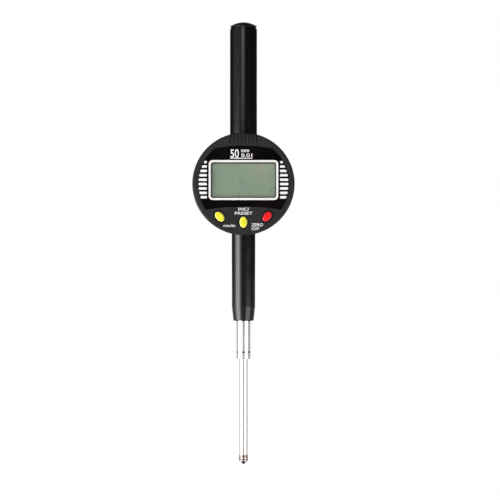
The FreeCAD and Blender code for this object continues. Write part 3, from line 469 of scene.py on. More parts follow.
def chrome(_colours):
    """Bright chrome with a band of painted brown shade in the joint between the stem and its end ring."""
    material = finish_material(
        "chrome", (0.80, 0.79, 0.77), (0.045, 0.055), metallic=1.0, second=(0.74, 0.72, 0.70), cloud=260.0,
        rings=(5200.0, 0.00004),
    )
    # Painted shade: a dark band where the stem meets its end ring.
    shade_level(material, STEM_LOW - 0.04, 0.18, 0.42, (0.030, 0.022, 0.018))
    return material


def shade_level(material, height, half, fade, colour):
    """Paint shade into a material in a thin level band: half its height, then a fade beyond it."""
    tree, _, _, place = shading_parts(material)
    parts = tree.nodes.new("ShaderNodeSeparateXYZ")
    off = add_node(tree, "ShaderNodeMath", {1: height * MM}, operation="SUBTRACT")
    away = add_node(tree, "ShaderNodeMath", operation="ABSOLUTE")
    near = add_node(
        tree, "ShaderNodeMapRange", {"From Min": half * MM, "From Max": fade * MM, "To Min": 1.0, "To Max": 0.0}
    )
    tree.links.new(place, parts.inputs[0])
    tree.links.new(parts.outputs["Z"], off.inputs[0])
    tree.links.new(off.outputs[0], away.inputs[0])
    tree.links.new(away.outputs[0], near.inputs["Value"])
    tint(material, near.outputs["Result"], colour)


def contact_steel(_colours):
    """The contact's steel, with painted brown shade where its two turned grooves run."""
    material = finish_material(
        "contact_steel", (0.35, 0.31, 0.29), (0.10, 0.15), metallic=1.0, second=(0.24, 0.20, 0.18), cloud=500.0,
        rings=(6000.0, 0.0001),
    )
    # Painted shade down in each turned groove.
    for groove in CONTACT_GROOVES:
        shade_level(material, groove, 0.14, 0.34, (0.022, 0.013, 0.010))
    return material


def white_print(colours):
    return finish_material(
        "white_print", tuple(colours.print_white), (0.34, 0.46), second=(0.61, 0.61, 0.63), cloud=800.0,
        grain=(7000.0, 0.003),
    )


def key_material(name, colour, shoulder):
    """Glossy key: a painted highlight makes its rounded shoulder paler, and painted shade makes it dark down in its
    hole.
    """
    material = finish_material(
        name, colour, (0.24, 0.30), cloud=420.0, grain=(1500.0, 0.001), sockets={"Specular IOR Level": 0.25},
    )
    tree, _, _, place = shading_parts(material)
    # Painted highlight: paler towards the rounded shoulder near the key's top.
    tint(material, depth_factor(tree, place, KEY_TOP - 0.1, KEY_TOP - 0.3), shoulder)
    # Painted shade: nearly black down in the key's hole, below the face.
    tint(material, depth_factor(tree, place, FACE + 0.05, FACE - 0.25), [level * 0.003 for level in colour])
    return material


def key_yellow(colours):
    # The second colour is the painted highlight on the key's shoulder.
    return key_material("key_yellow", tuple(colours.key_yellow), (0.63, 0.63, 0.22))


def key_red(colours):
    # The second colour is the painted highlight on the key's shoulder.
    return key_material("key_red", tuple(colours.key_red), (0.36, 0.045, 0.060))


def amber_film(_colours):
    return striped_material("amber_film", (0.50, 0.22, 0.03), (0.62, 0.34, 0.10), 1400.0, (1.0, 0.0, 0.0))


def scale_film(_colours):
    return striped_material("scale_film", (0.60, 0.40, 0.13), (0.10, 0.19, 0.08), 620.0, (0.0, 0.0, 1.0))


def striped_material(name, base, line, scale, direction):
    """Printed film with even etched lines across one direction."""
    material = finish_material(name, base, (0.2, 0.3), cloud=300.0)
    tree, _, _, place = shading_parts(material)
    along = add_node(tree, "ShaderNodeVectorMath", operation="DOT_PRODUCT")
    along.inputs[1].default_value = direction
    times = add_node(tree, "ShaderNodeMath", {1: scale}, operation="MULTIPLY")
    saw = add_node(tree, "ShaderNodeMath", operation="FRACT")
    step = add_node(tree, "ShaderNodeMapRange", {"From Min": 0.46, "From Max": 0.54})
    tree.links.new(place, along.inputs[0])
    tree.links.new(along.outputs["Value"], times.inputs[0])
    tree.links.new(times.outputs[0], saw.inputs[0])
    tree.links.new(saw.outputs[0], step.inputs["Value"])
    tint(material, step.outputs["Result"], line, base)
    return material


def board_green(_colours):
    """Solder mask with lighter copper runs under it and a fine glass weave."""
    mask, copper = (0.008, 0.075, 0.028), (0.03, 0.16, 0.06)
    material = finish_material("board_green", mask, (0.26, 0.4), cloud=220.0, grain=(3000.0, 0.004))
    tree, _, _, place = shading_parts(material)
    runs = add_node(tree, "ShaderNodeTexVoronoi", {"Scale": 420.0}, feature="DISTANCE_TO_EDGE")
    step = add_node(tree, "ShaderNodeMapRange", {"From Min": 0.04, "From Max": 0.07})
    tree.links.new(place, runs.inputs["Vector"])
    tree.links.new(runs.outputs["Distance"], step.inputs["Value"])
    tint(material, step.outputs["Result"], mask, copper)
    return material


def lcd_film(colours):
    """Resting display: grey-green, with a painted warm reflection to the upper right and painted shade along its
    edges.
    """
    green = tuple(colours.lcd_green)
    material = finish_material("lcd_film", green, (0.27, 0.30), cloud=60.0)
    tree, _, _, place = shading_parts(material)
    # Painted reflection: a warm patch towards the display's upper right corner.
    corner = add_node(tree, "ShaderNodeVectorMath", operation="DISTANCE")
    corner.inputs[1].default_value = (0.010, -WALL_BACK * MM, (HEAD_Z + 13.0) * MM)
    reach = add_node(
        tree, "ShaderNodeMapRange", {"From Min": 0.0, "From Max": 0.0145, "To Min": 0.95, "To Max": 0.0},
        interpolation_type="SMOOTHSTEP",
    )
    tree.links.new(place, corner.inputs[0])
    tree.links.new(corner.outputs["Value"], reach.inputs["Value"])
    tint(material, reach.outputs["Result"], (0.185, 0.212, 0.128), green)
    # Painted shade along the display's edges, stronger at the top and left.
    inset = add_node(tree, "ShaderNodeVectorMath", operation="SUBTRACT")
    inset.inputs[1].default_value = (0.00012, 0.0, (HEAD_Z + WINDOW_Z - 0.2) * MM)
    size = add_node(tree, "ShaderNodeVectorMath", operation="ABSOLUTE")
    half = add_node(tree, "ShaderNodeVectorMath", operation="SUBTRACT")
    half.inputs[1].default_value = Vector(
        ((WINDOW_HIGH.x - WINDOW_LOW.x) / 2, 0.0, (WINDOW_HIGH.z - WINDOW_LOW.z) / 2)
    ) * MM
    parts = tree.nodes.new("ShaderNodeSeparateXYZ")
    outer = add_node(tree, "ShaderNodeMath", operation="MAXIMUM")
    rim = add_node(
        tree, "ShaderNodeMapRange", {"From Min": -0.0011, "From Max": -0.0003, "To Max": 0.85},
        interpolation_type="SMOOTHSTEP",
    )
    tree.links.new(place, inset.inputs[0])
    tree.links.new(inset.outputs[0], size.inputs[0])
    tree.links.new(size.outputs[0], half.inputs[0])
    tree.links.new(half.outputs[0], parts.inputs[0])
    tree.links.new(parts.outputs["X"], outer.inputs[0])
    tree.links.new(parts.outputs["Z"], outer.inputs[1])
    tree.links.new(outer.outputs[0], rim.inputs["Value"])
    tint(material, rim.outputs["Result"], (0.02, 0.024, 0.017))
    return material


PLAIN_FINISHES = {
    "ground_steel": dict(
        colour=(0.76, 0.745, 0.73), roughness=(0.055, 0.07),
        metallic=1.0, second=(0.69, 0.67, 0.66), cloud=300.0, rings=(6000.0, 0.00005),
    ),
    "dark_carbide": dict(
        colour=(0.020, 0.016, 0.015), roughness=(0.22, 0.32),
        metallic=1.0, second=(0.035, 0.026, 0.024), cloud=900.0, grain=(9000.0, 0.0004),
    ),
    "bronze": dict(
        colour=(0.52, 0.33, 0.14), roughness=(0.22, 0.34),
        metallic=1.0, second=(0.40, 0.24, 0.10), cloud=400.0, grain=(5000.0, 0.003),
    ),
    "black_rubber": dict(
        colour=(0.014, 0.014, 0.015), roughness=(0.62, 0.78),
        second=(0.03, 0.03, 0.031), cloud=600.0, grain=(4200.0, 0.01),
    ),
    "grey_rubber": dict(
        colour=(0.16, 0.16, 0.17), roughness=(0.55, 0.7),
        second=(0.22, 0.22, 0.23), cloud=500.0, grain=(3600.0, 0.008),
    ),
    "clear_acrylic": dict(
        colour=(0.44, 0.48, 0.44), roughness=(0.03, 0.04),
        second=(0.46, 0.49, 0.45), cloud=60.0, alpha=0.07,
        sockets={"IOR": 1.49, "Coat Weight": 0.3, "Coat Roughness": 0.03},
    ),
    "spring_wire": dict(
        colour=(0.50, 0.50, 0.49), roughness=(0.2, 0.32),
        metallic=1.0, second=(0.38, 0.37, 0.35), cloud=900.0, grain=(6500.0, 0.001),
    ),
    "screw_steel": dict(
        colour=(0.30, 0.30, 0.31), roughness=(0.24, 0.36),
        metallic=1.0, second=(0.20, 0.20, 0.20), cloud=900.0, grain=(6500.0, 0.002),
    ),
    "milled_aluminium": dict(
        colour=(0.66, 0.66, 0.66), roughness=(0.28, 0.42),
        metallic=1.0, second=(0.56, 0.56, 0.57), cloud=300.0, rings=(1800.0, 0.002),
    ),
    "nickel_can": dict(
        colour=(0.68, 0.67, 0.65), roughness=(0.16, 0.26),
        metallic=1.0, second=(0.56, 0.55, 0.53), cloud=350.0, grain=(5200.0, 0.0015),
    ),
    "chip_epoxy": dict(
        colour=(0.012, 0.012, 0.013), roughness=(0.5, 0.62),
        second=(0.02, 0.02, 0.021), cloud=700.0, grain=(7000.0, 0.006),
    ),
}

FINISHES = {
    maker.__name__: maker
    for maker in (
        case_black, rim_black, grip_black, face_gloss, tube_satin, sleeve_polish, chrome, contact_steel,
        white_print, key_yellow, key_red, amber_film, scale_film, board_green, lcd_film,
    )
}

SLOT_FINISH = {
    "black_case": "case_black",
    "black_tube": "tube_satin",
    "chrome_stem": "chrome",
    "steel_spindle": "ground_steel",
    "dark_ball": "dark_carbide",
    "bronze": "bronze",
    "black_rubber": "black_rubber",
    "gloss_face": "face_gloss",
    "clear_lens": "clear_acrylic",
    "lcd_glass": "lcd_film",
    "zebra_rubber": "grey_rubber",
    "green_board": "board_green",
    "chip_black": "chip_epoxy",
    "spring_steel": "spring_wire",
    "screw_steel": "screw_steel",
    "frame_aluminium": "milled_aluminium",
    "yellow_button": "key_yellow",
    "red_button": "key_red",
    "cell_steel": "nickel_can",
    "ribbon_film": "amber_film",
    "scale_film": "scale_film",
}


# === mesh building =======================================================================

def new_piece(name, mesh, look):
    piece = bpy.data.objects.new(name, mesh)
    bpy.context.scene.collection.objects.link(piece)
    mesh.materials.clear()
    mesh.materials.append(finish(look))
    return piece


def close_up(mesh, merge=1e-7):
    """Merge doubles and turn every face outwards."""
    shape = bmesh.new()
    shape.from_mesh(mesh)
    bmesh.ops.remove_doubles(shape, verts=shape.verts, dist=merge)
    bmesh.ops.recalc_face_normals(shape, faces=shape.faces)
    shape.to_mesh(mesh)
    shape.free()


def smooth(mesh, degrees=32.0):
    mesh.shade_smooth()
    mesh.set_sharp_from_angle(angle=math.radians(degrees))


def apply_modifiers(piece):
    """Turn the evaluated piece into a plain mesh."""
    layer = bpy.context.evaluated_depsgraph_get()
    mesh = bpy.data.meshes.new_from_object(piece.evaluated_get(layer))
    old = piece.data
    piece.modifiers.clear()
    piece.data = mesh
    if old.users == 0:
        bpy.data.meshes.remove(old)
    return piece


def rounded_corners(corners, closed):
    """Outline with arcs in place of its rounded corners; a corner is (x, y) or (x, y, radius)."""
    outline = []
    count = len(corners)
    for index, corner in enumerate(corners):
        here = Vector(corner[:2])
        radius = corner[2] if len(corner) > 2 else 0.0
        if radius <= 0 or (not closed and index in (0, count - 1)):
            outline.append(here)
            continue
        back = (Vector(corners[index - 1][:2]) - here).normalized()
        on = (Vector(corners[(index + 1) % count][:2]) - here).normalized()
        half = back.angle(on) / 2
        centre = here + (back + on).normalized() * radius / math.sin(half)
        first = here + back * radius / math.tan(half) - centre
        last = here + on * radius / math.tan(half) - centre
        start = math.atan2(first.y, first.x)
        turn = math.remainder(math.atan2(last.y, last.x) - start, 2 * math.pi)
        for step in range(ARC_STEPS + 1):
            angle = start + turn * step / ARC_STEPS
            outline.append(centre + radius * Vector((math.cos(angle), math.sin(angle))))
    return outline


def held_outline(outline, closed):
    """The outline with extra points close to the ends of its long runs, so that shading stays flat there."""
    held = []
    count = len(outline)
    for index, here in enumerate(outline):
        held.append(here)
        if not closed and index == count - 1:
            break
        on = outline[(index + 1) % count]
        run = (on - here).length
        if run > 4 * HOLD:
            held.append(here.lerp(on, HOLD / run))
            held.append(here.lerp(on, 1 - HOLD / run))
    return held


def turned_mesh(name, corners, closed=False, front=False, segments=SEGMENTS):
    """Mesh turned from an outline of (radius, height) corners; with front, heights are depths about the head."""
    outline = held_outline(rounded_corners(corners, closed), closed)
    shape = bmesh.new()
    rings = []
    for point in outline:
        radius, height = point
        if radius < 1e-6:
            rings.append([shape.verts.new(turned_place(0.0, 0.0, height, front))])
            continue
        ring = []
        for index in range(segments):
            angle = 2 * math.pi * index / segments
            across, along = radius * math.cos(angle), radius * math.sin(angle)
            ring.append(shape.verts.new(turned_place(across, along, height, front)))
        rings.append(ring)
    pairs = list(zip(rings, rings[1:]))
    if closed:
        pairs.append((rings[-1], rings[0]))
    for lower, upper in pairs:
        bridge_rings(shape, lower, upper, segments)
    mesh = bpy.data.meshes.new(name)
    shape.to_mesh(mesh)
    shape.free()
    close_up(mesh)
    return mesh


def turned_place(across, along, height, front):
    if front:
        return Vector((across, -height, along + HEAD_Z)) * MM
    return Vector((across, along, height)) * MM


def bridge_rings(shape, lower, upper, segments):
    if len(lower) == 1 and len(upper) == 1:
        return
    for index in range(segments):
        after = (index + 1) % segments
        if len(lower) == 1:
            shape.faces.new((lower[0], upper[index], upper[after]))
        elif len(upper) == 1:
            shape.faces.new((lower[index], lower[after], upper[0]))
        else:
            shape.faces.new((lower[index], lower[after], upper[after], upper[index]))


def turned_piece(name, corners, look, closed=False, front=False, degrees=32.0, segments=SEGMENTS):
    mesh = turned_mesh(name, corners, closed, front, segments)
    smooth(mesh, degrees)
    return new_piece(name, mesh, look)


def flat_mesh(name, outlines, low, high, edge=0.0):
    """Plate facing the viewer, cut to closed outlines about the head's centre, between two depths."""
    curve = bpy.data.curves.new(name, "CURVE")
    curve.dimensions = "2D"
    curve.fill_mode = "BOTH"
    for outline in outlines:
        spline = curve.splines.new("POLY")
        spline.points.add(len(outline) - 1)
        for point, place in zip(spline.points, outline):
            point.co = (place[0] * MM, place[1] * MM, 0.0, 1.0)
        spline.use_cyclic_u = True
    curve.extrude = ((high - low) / 2 - edge) * MM
    curve.bevel_depth = edge * MM
    curve.bevel_resolution = 1
    curve.offset = -edge * MM
    holder = bpy.data.objects.new(name, curve)
    mesh = bpy.data.meshes.new_from_object(holder)
    bpy.data.objects.remove(holder)
    bpy.data.curves.remove(curve)
    mesh.name = name
    stand_up(mesh, (low + high) / 2)
    close_up(mesh, 2e-7)
    return mesh


def stand_up(mesh, depth):
    """Turn a mesh drawn flat so that it faces the viewer at a depth, about the head's centre."""
    upright = Matrix.Translation(Vector((0.0, -depth, HEAD_Z)) * MM) @ Matrix.Rotation(math.pi / 2, 4, "X")
    mesh.transform(upright)


def flat_piece(name, outlines, low, high, look, edge=0.0):
    mesh = flat_mesh(name, outlines, low, high, edge)
    smooth(mesh, 12.0)
    return new_piece(name, mesh, look)


def block_mesh(name, low_corner, high_corner):
    shape = bmesh.new()
    bmesh.ops.create_cube(shape, size=1.0)
    low, high = Vector(low_corner) * MM, Vector(high_corner) * MM
    for vertex in shape.verts:
        vertex.co = Vector([(low[i] + high[i]) / 2 + vertex.co[i] * (high[i] - low[i]) for i in range(3)])
    mesh = bpy.data.meshes.new(name)
    shape.to_mesh(mesh)
    shape.free()
    return mesh


def carve(piece, meshes, operation="DIFFERENCE"):
    """Cut a piece with closed meshes, or keep what it shares with them, and drop the cutters."""
    cutters = []
    for mesh in meshes:
        cutter = bpy.data.objects.new("cutter", mesh)
        bpy.context.scene.collection.objects.link(cutter)
        modifier = piece.modifiers.new("carve", "BOOLEAN")
        modifier.operation = operation
        modifier.solver = "EXACT"
        modifier.object = cutter
        cutters.append(cutter)
    apply_modifiers(piece)
    for cutter in cutters:
        mesh = cutter.data
        bpy.data.objects.remove(cutter)
        bpy.data.meshes.remove(mesh)
    close_up(piece.data, 5e-7)
    return piece


def soften(piece, width=0.1, segments=2, degrees=30.0):
    """Break the sharp edges of a carved piece and weight its normals to its large faces."""
    bevel = piece.modifiers.new("edges", "BEVEL")
    bevel.width = width * MM
    bevel.segments = segments
    bevel.limit_method = "ANGLE"
    bevel.angle_limit = math.radians(degrees)
    bevel.use_clamp_overlap = True
    bevel.miter_outer = "MITER_ARC"
    apply_modifiers(piece)
    close_up(piece.data, 2e-7)
    smooth(piece.data, 40.0)
    weigh = piece.modifiers.new("normals", "WEIGHTED_NORMAL")
    weigh.keep_sharp = True
    apply_modifiers(piece)
    return piece


def seat(piece, body, slot, *nodes):
    """Fix a finished piece to its body and hide the CAD nodes that it stands for; the slot is not used."""
    if nodes:
        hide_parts(*nodes)
    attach(piece, body)
    return piece


def rounded_rectangle(width, height, corner, up=0.0):
    w, h = width / 2, height / 2
    corners = [(-w, up - h, corner), (w, up - h, corner), (w, up + h, corner), (-w, up + h, corner)]
    return rounded_corners(corners, True)


def oval_outline(half_w, half_h, x, up, lean, steps=64):
    """Ellipse about a point; a positive lean turns its top to the right."""
    turn = math.radians(-lean)
    outline = []
    for index in range(steps):
        angle = 2 * math.pi * index / steps
        a, b = half_w * math.cos(angle), half_h * math.sin(angle)
        outline.append((x + a * math.cos(turn) - b * math.sin(turn), up + a * math.sin(turn) + b * math.cos(turn)))
    return outline


def band_outline(radius):
    """The gloss face: a circle between two shallow arcs that both bow upwards."""
    def arc_height(x, top, curve):
        return top - curve + math.sqrt(curve * curve - x * x)

    def meeting(top, curve, sign):
        low, high = 0.0, radius
        for _ in range(60):
            middle = (low + high) / 2
            gap = arc_height(middle, top, curve) - sign * math.sqrt(radius * radius - middle * middle)
            inside = gap < 0 if sign > 0 else gap > 0
            low, high = (middle, high) if inside else (low, middle)
        return low

    top, top_curve = BAND_TOP
    bottom, bottom_curve = -BAND_BOTTOM[0], BAND_BOTTOM[1]
    x_top = meeting(top, top_curve, 1)
    x_bottom = meeting(bottom, bottom_curve, -1)
    outline = []
    steps = 28
    for index in range(steps):
        x = -x_top + 2 * x_top * index / steps
        outline.append((x, arc_height(x, top, top_curve)))
    first = math.atan2(arc_height(x_top, top, top_curve), x_top)
    last = math.atan2(arc_height(x_bottom, bottom, bottom_curve), x_bottom)
    for index in range(steps):
        angle = first + (last - first) * index / steps
        outline.append((radius * math.cos(angle), radius * math.sin(angle)))
    for index in range(steps):
        x = x_bottom - 2 * x_bottom * index / steps
        outline.append((x, arc_height(x, bottom, bottom_curve)))
    for index in range(steps):
        angle = math.pi - last + (last - first) * index / steps
        outline.append((radius * math.cos(angle), radius * math.sin(angle)))
    return outline


# === geometry nodes ======================================================================

def new_tree(name, inputs):
    """Geometry tree with named inputs; returns the tree, its input node and a dict of socket identifiers."""
    tree = bpy.data.node_groups.new(name, "GeometryNodeTree")
    tree.is_modifier = True
    tree.interface.new_socket(name="Geometry", in_out="OUTPUT", socket_type="NodeSocketGeometry")
    identifiers = {}
    for socket, kind in inputs:
        made = tree.interface.new_socket(name=socket, in_out="INPUT", socket_type=kind)
        identifiers[socket] = made.identifier
    return tree, tree.nodes.new("NodeGroupInput"), identifiers


def end_tree(tree, start, geometry):
    """Close a tree with Realize Instances and Set Material."""
    real = tree.nodes.new("GeometryNodeRealizeInstances")
    paint = tree.nodes.new("GeometryNodeSetMaterial")
    end = tree.nodes.new("NodeGroupOutput")
    tree.links.new(geometry, real.inputs["Geometry"])
    tree.links.new(real.outputs["Geometry"], paint.inputs["Geometry"])
    tree.links.new(start.outputs["Material"], paint.inputs["Material"])
    tree.links.new(paint.outputs["Geometry"], end.inputs["Geometry"])


def run_tree(name, tree, identifiers, values, look):
    """Plain mesh piece made by a geometry tree with the given input values."""
    holder = new_piece(name, bpy.data.meshes.new(name), look)
    modifier = holder.modifiers.new("nodes", "NODES")
    modifier.node_group = tree
    for socket, value in values.items():
        modifier[identifiers[socket]] = value
    modifier[identifiers["Material"]] = finish(look)
    apply_modifiers(holder)
    return holder


def bars_tree():
    """White bars beside the display, cut to a circle at their outer ends, mirrored to both sides."""
    tree, start, ids = new_tree(
        "Side Bars",
        [
            ("Count", "NodeSocketInt"), ("Pitch", "NodeSocketFloat"), ("Height", "NodeSocketFloat"),
            ("Inner", "NodeSocketFloat"), ("Circle", "NodeSocketFloat"), ("Rise", "NodeSocketFloat"),
            ("Corner", "NodeSocketFloat"), ("Ink", "NodeSocketFloat"), ("Material", "NodeSocketMaterial"),
        ],
    )
    link = tree.links.new
    get = start.outputs

    def sums(operation, first, second):
        node = add_node(tree, "ShaderNodeMath", operation=operation)
        for index, value in enumerate((first, second)):
            if isinstance(value, (int, float)):
                node.inputs[index].default_value = value
            else:
                link(value, node.inputs[index])
        return node.outputs[0]

    length = sums("SUBTRACT", get["Circle"], get["Inner"])
    middle = sums("ADD", get["Inner"], sums("MULTIPLY", length, 0.5))
    quad = tree.nodes.new("GeometryNodeCurvePrimitiveQuadrilateral")
    link(length, quad.inputs["Width"])
    link(get["Height"], quad.inputs["Height"])
    spread = sums("MULTIPLY", get["Pitch"], sums("SUBTRACT", get["Count"], 1.0))
    first_up = sums("SUBTRACT", get["Rise"], sums("MULTIPLY", spread, 0.5))
    line_start = tree.nodes.new("ShaderNodeCombineXYZ")
    line_step = tree.nodes.new("ShaderNodeCombineXYZ")
    link(middle, line_start.inputs["X"])
    link(first_up, line_start.inputs["Y"])
    link(get["Pitch"], line_step.inputs["Y"])
    line = add_node(tree, "GeometryNodeMeshLine", mode="OFFSET")
    link(get["Count"], line.inputs["Count"])
    link(line_start.outputs[0], line.inputs["Start Location"])
    link(line_step.outputs[0], line.inputs["Offset"])
    copies = tree.nodes.new("GeometryNodeInstanceOnPoints")
    link(line.outputs["Mesh"], copies.inputs["Points"])
    link(quad.outputs["Curve"], copies.inputs["Instance"])
    real = tree.nodes.new("GeometryNodeRealizeInstances")
    link(copies.outputs["Instances"], real.inputs["Geometry"])
    place = tree.nodes.new("GeometryNodeInputPosition")
    parts = tree.nodes.new("ShaderNodeSeparateXYZ")
    link(place.outputs[0], parts.inputs[0])
    reach = sums("MULTIPLY", get["Circle"], get["Circle"])
    lift = sums("MULTIPLY", parts.outputs["Y"], parts.outputs["Y"])
    square = sums("SUBTRACT", reach, lift)
    edge = sums("MINIMUM", parts.outputs["X"], sums("SQRT", square, 0.0))
    joined = tree.nodes.new("ShaderNodeCombineXYZ")
    link(edge, joined.inputs["X"])
    link(parts.outputs["Y"], joined.inputs["Y"])
    moved = tree.nodes.new("GeometryNodeSetPosition")
    link(real.outputs["Geometry"], moved.inputs["Geometry"])
    link(joined.outputs[0], moved.inputs["Position"])
    fillet = tree.nodes.new("GeometryNodeFilletCurve")
    fillet.mode = "POLY"
    fillet.inputs["Count"].default_value = 4
    fillet.inputs["Limit Radius"].default_value = True
    link(moved.outputs["Geometry"], fillet.inputs["Curve"])
    link(get["Corner"], fillet.inputs["Radius"])
    fill = tree.nodes.new("GeometryNodeFillCurve")
    link(fillet.outputs["Curve"], fill.inputs["Curve"])
    mirror = add_node(tree, "GeometryNodeTransform")
    mirror.inputs["Rotation"].default_value = (0.0, math.pi, 0.0)
    both = tree.nodes.new("GeometryNodeJoinGeometry")
    link(fill.outputs["Mesh"], mirror.inputs["Geometry"])
    flip = tree.nodes.new("GeometryNodeFlipFaces")
    link(mirror.outputs["Geometry"], flip.inputs["Mesh"])
    link(fill.outputs["Mesh"], both.inputs["Geometry"])
    link(flip.outputs["Mesh"], both.inputs["Geometry"])
    thick = tree.nodes.new("GeometryNodeExtrudeMesh")
    thick.inputs["Individual"].default_value = False
    link(both.outputs["Geometry"], thick.inputs["Mesh"])
    link(get["Ink"], thick.inputs["Offset Scale"])
    under = tree.nodes.new("GeometryNodeFlipFaces")
    link(both.outputs["Geometry"], under.inputs["Mesh"])
    shut = tree.nodes.new("GeometryNodeJoinGeometry")
    link(thick.outputs["Mesh"], shut.inputs["Geometry"])
    link(under.outputs["Mesh"], shut.inputs["Geometry"])
    end_tree(tree, start, shut.outputs["Geometry"])
    return tree, ids


def ring_tree():
    """Copies of one object, evenly spaced on a circle, each turned to face the same way."""
    tree, start, ids = new_tree(
        "Ring Of Screws",
        [
            ("Count", "NodeSocketInt"), ("Circle", "NodeSocketFloat"), ("Screw", "NodeSocketObject"),
            ("Material", "NodeSocketMaterial"),
        ],
    )
    link = tree.links.new
    ring = tree.nodes.new("GeometryNodeMeshCircle")
    link(start.outputs["Count"], ring.inputs["Vertices"])
    link(start.outputs["Circle"], ring.inputs["Radius"])
    turn = tree.nodes.new("GeometryNodeTransform")
    turn.inputs["Rotation"].default_value = (math.pi / 2, math.pi / 4, 0.0)
    link(ring.outputs["Mesh"], turn.inputs["Geometry"])
    source = tree.nodes.new("GeometryNodeObjectInfo")
    link(start.outputs["Screw"], source.inputs["Object"])
    copies = tree.nodes.new("GeometryNodeInstanceOnPoints")
    link(turn.outputs["Geometry"], copies.inputs["Points"])
    link(source.outputs["Geometry"], copies.inputs["Instance"])
    end_tree(tree, start, copies.outputs["Instances"])
    return tree, ids


def grooves_tree():
    """Row of upright bars that cut the thumb grip's grooves."""
    tree, start, ids = new_tree(
        "Grip Grooves",
        [
            ("Count", "NodeSocketInt"), ("Pitch", "NodeSocketFloat"), ("Size", "NodeSocketVector"),
            ("Middle", "NodeSocketVector"), ("Material", "NodeSocketMaterial"),
        ],
    )
    link = tree.links.new
    bar = tree.nodes.new("GeometryNodeMeshCube")
    link(start.outputs["Size"], bar.inputs["Size"])
    step = tree.nodes.new("ShaderNodeCombineXYZ")
    link(start.outputs["Pitch"], step.inputs["X"])
    less = add_node(tree, "ShaderNodeMath", {1: 1.0}, operation="SUBTRACT")
    link(start.outputs["Count"], less.inputs[0])
    back = add_node(tree, "ShaderNodeMath", {1: -0.5}, operation="MULTIPLY")
    link(less.outputs[0], back.inputs[0])
    offset = add_node(tree, "ShaderNodeVectorMath", operation="SCALE")
    link(step.outputs[0], offset.inputs[0])
    link(back.outputs[0], offset.inputs["Scale"])
    first = add_node(tree, "ShaderNodeVectorMath", operation="ADD")
    link(offset.outputs[0], first.inputs[0])
    link(start.outputs["Middle"], first.inputs[1])
    line = add_node(tree, "GeometryNodeMeshLine", mode="OFFSET")
    link(start.outputs["Count"], line.inputs["Count"])
    link(first.outputs[0], line.inputs["Start Location"])
    link(step.outputs[0], line.inputs["Offset"])
    copies = tree.nodes.new("GeometryNodeInstanceOnPoints")
    link(line.outputs["Mesh"], copies.inputs["Points"])
    link(bar.outputs["Mesh"], copies.inputs["Instance"])
    end_tree(tree, start, copies.outputs["Instances"])
    return tree, ids


def coil_tree():
    """Round wire wound on a helix that rises from a height."""
    tree, start, ids = new_tree(
        "Coil Spring",
        [
            ("Turns", "NodeSocketFloat"), ("Radius", "NodeSocketFloat"), ("Length", "NodeSocketFloat"),
            ("Wire", "NodeSocketFloat"), ("Base", "NodeSocketVector"), ("Material", "NodeSocketMaterial"),
        ],
    )
    link = tree.links.new
    helix = tree.nodes.new("GeometryNodeCurveSpiral")
    helix.inputs["Resolution"].default_value = 36
    link(start.outputs["Turns"], helix.inputs["Rotations"])
    link(start.outputs["Radius"], helix.inputs["Start Radius"])
    link(start.outputs["Radius"], helix.inputs["End Radius"])
    link(start.outputs["Length"], helix.inputs["Height"])
    section = add_node(tree, "GeometryNodeCurvePrimitiveCircle", {"Resolution": 12})
    link(start.outputs["Wire"], section.inputs["Radius"])
    wire = tree.nodes.new("GeometryNodeCurveToMesh")
    wire.inputs["Fill Caps"].default_value = True
    link(helix.outputs["Curve"], wire.inputs["Curve"])
    link(section.outputs["Curve"], wire.inputs["Profile Curve"])
    lift = tree.nodes.new("GeometryNodeTransform")
    link(wire.outputs["Mesh"], lift.inputs["Geometry"])
    link(start.outputs["Base"], lift.inputs["Translation"])
    end_tree(tree, start, lift.outputs["Geometry"])
    return tree, ids


# === pieces: tube, sleeve, stem and spindle ==============================================

def make_guard_tube():
    bore = TUBE_R - TUBE_WALL
    shoulder = TUBE_LOW + SPIGOT
    step = shoulder + 1.0
    corners = [
        (UPPER_BUSH_R, TUBE_LOW), (TUBE_SPIGOT_R, TUBE_LOW), (TUBE_SPIGOT_R, shoulder), (TUBE_R, shoulder, 0.15),
        (TUBE_R, TUBE_TOP, 0.3), (bore, TUBE_TOP), (bore, step), (UPPER_BUSH_R, step),
    ]
    tube = turned_piece("guard_tube_outer", corners, "tube_satin", closed=True)
    seat(tube, "case", "black_tube", "guard_tube")


def make_tube_cap():
    spigot_low = span("tube_cap")[0].z
    rim = TUBE_TOP + 1.1
    dome = rim + 0.4
    rise = CAP_TOP - dome
    radius = (TUBE_R ** 2 + rise ** 2) / (2 * rise)
    corners = [
        (0.0, spigot_low), (TUBE_R - TUBE_WALL - 0.05, spigot_low, 0.2), (TUBE_R - TUBE_WALL - 0.05, TUBE_TOP),
        (CAP_GROOVE_R, TUBE_TOP), (CAP_GROOVE_R, rim), (TUBE_R, rim, 0.15),
    ]
    steps = 22
    widest = math.asin(TUBE_R / radius)
    for index in range(steps + 1):
        angle = widest * (1 - index / steps)
        corners.append((radius * math.sin(angle), CAP_TOP - radius + radius * math.cos(angle)))
    cap = turned_piece("tube_cap_domed", corners, "tube_satin")
    seat(cap, "case", "black_tube", "tube_cap")


def make_sleeve():
    shoulder = SLEEVE_TOP - SPIGOT
    socket = span("stem")[1].z + 1.0
    corners = [
        (STEM_SHANK_R, SLEEVE_LOW), (SLEEVE_END_R, SLEEVE_LOW, 0.65), (SLEEVE_TURN_R, SLEEVE_LOW + SLEEVE_TAPER, 1.2),
        (half_width("stem_sleeve"), shoulder, 0.1), (SLEEVE_SPIGOT_R, shoulder), (SLEEVE_SPIGOT_R, SLEEVE_TOP),
        (SLEEVE_BORE_R, SLEEVE_TOP), (SLEEVE_BORE_R, socket), (STEM_SHANK_R, socket),
    ]
    sleeve = turned_piece("stem_sleeve_outer", corners, "sleeve_polish", closed=True)
    seat(sleeve, "case", "black_tube", "stem_sleeve")


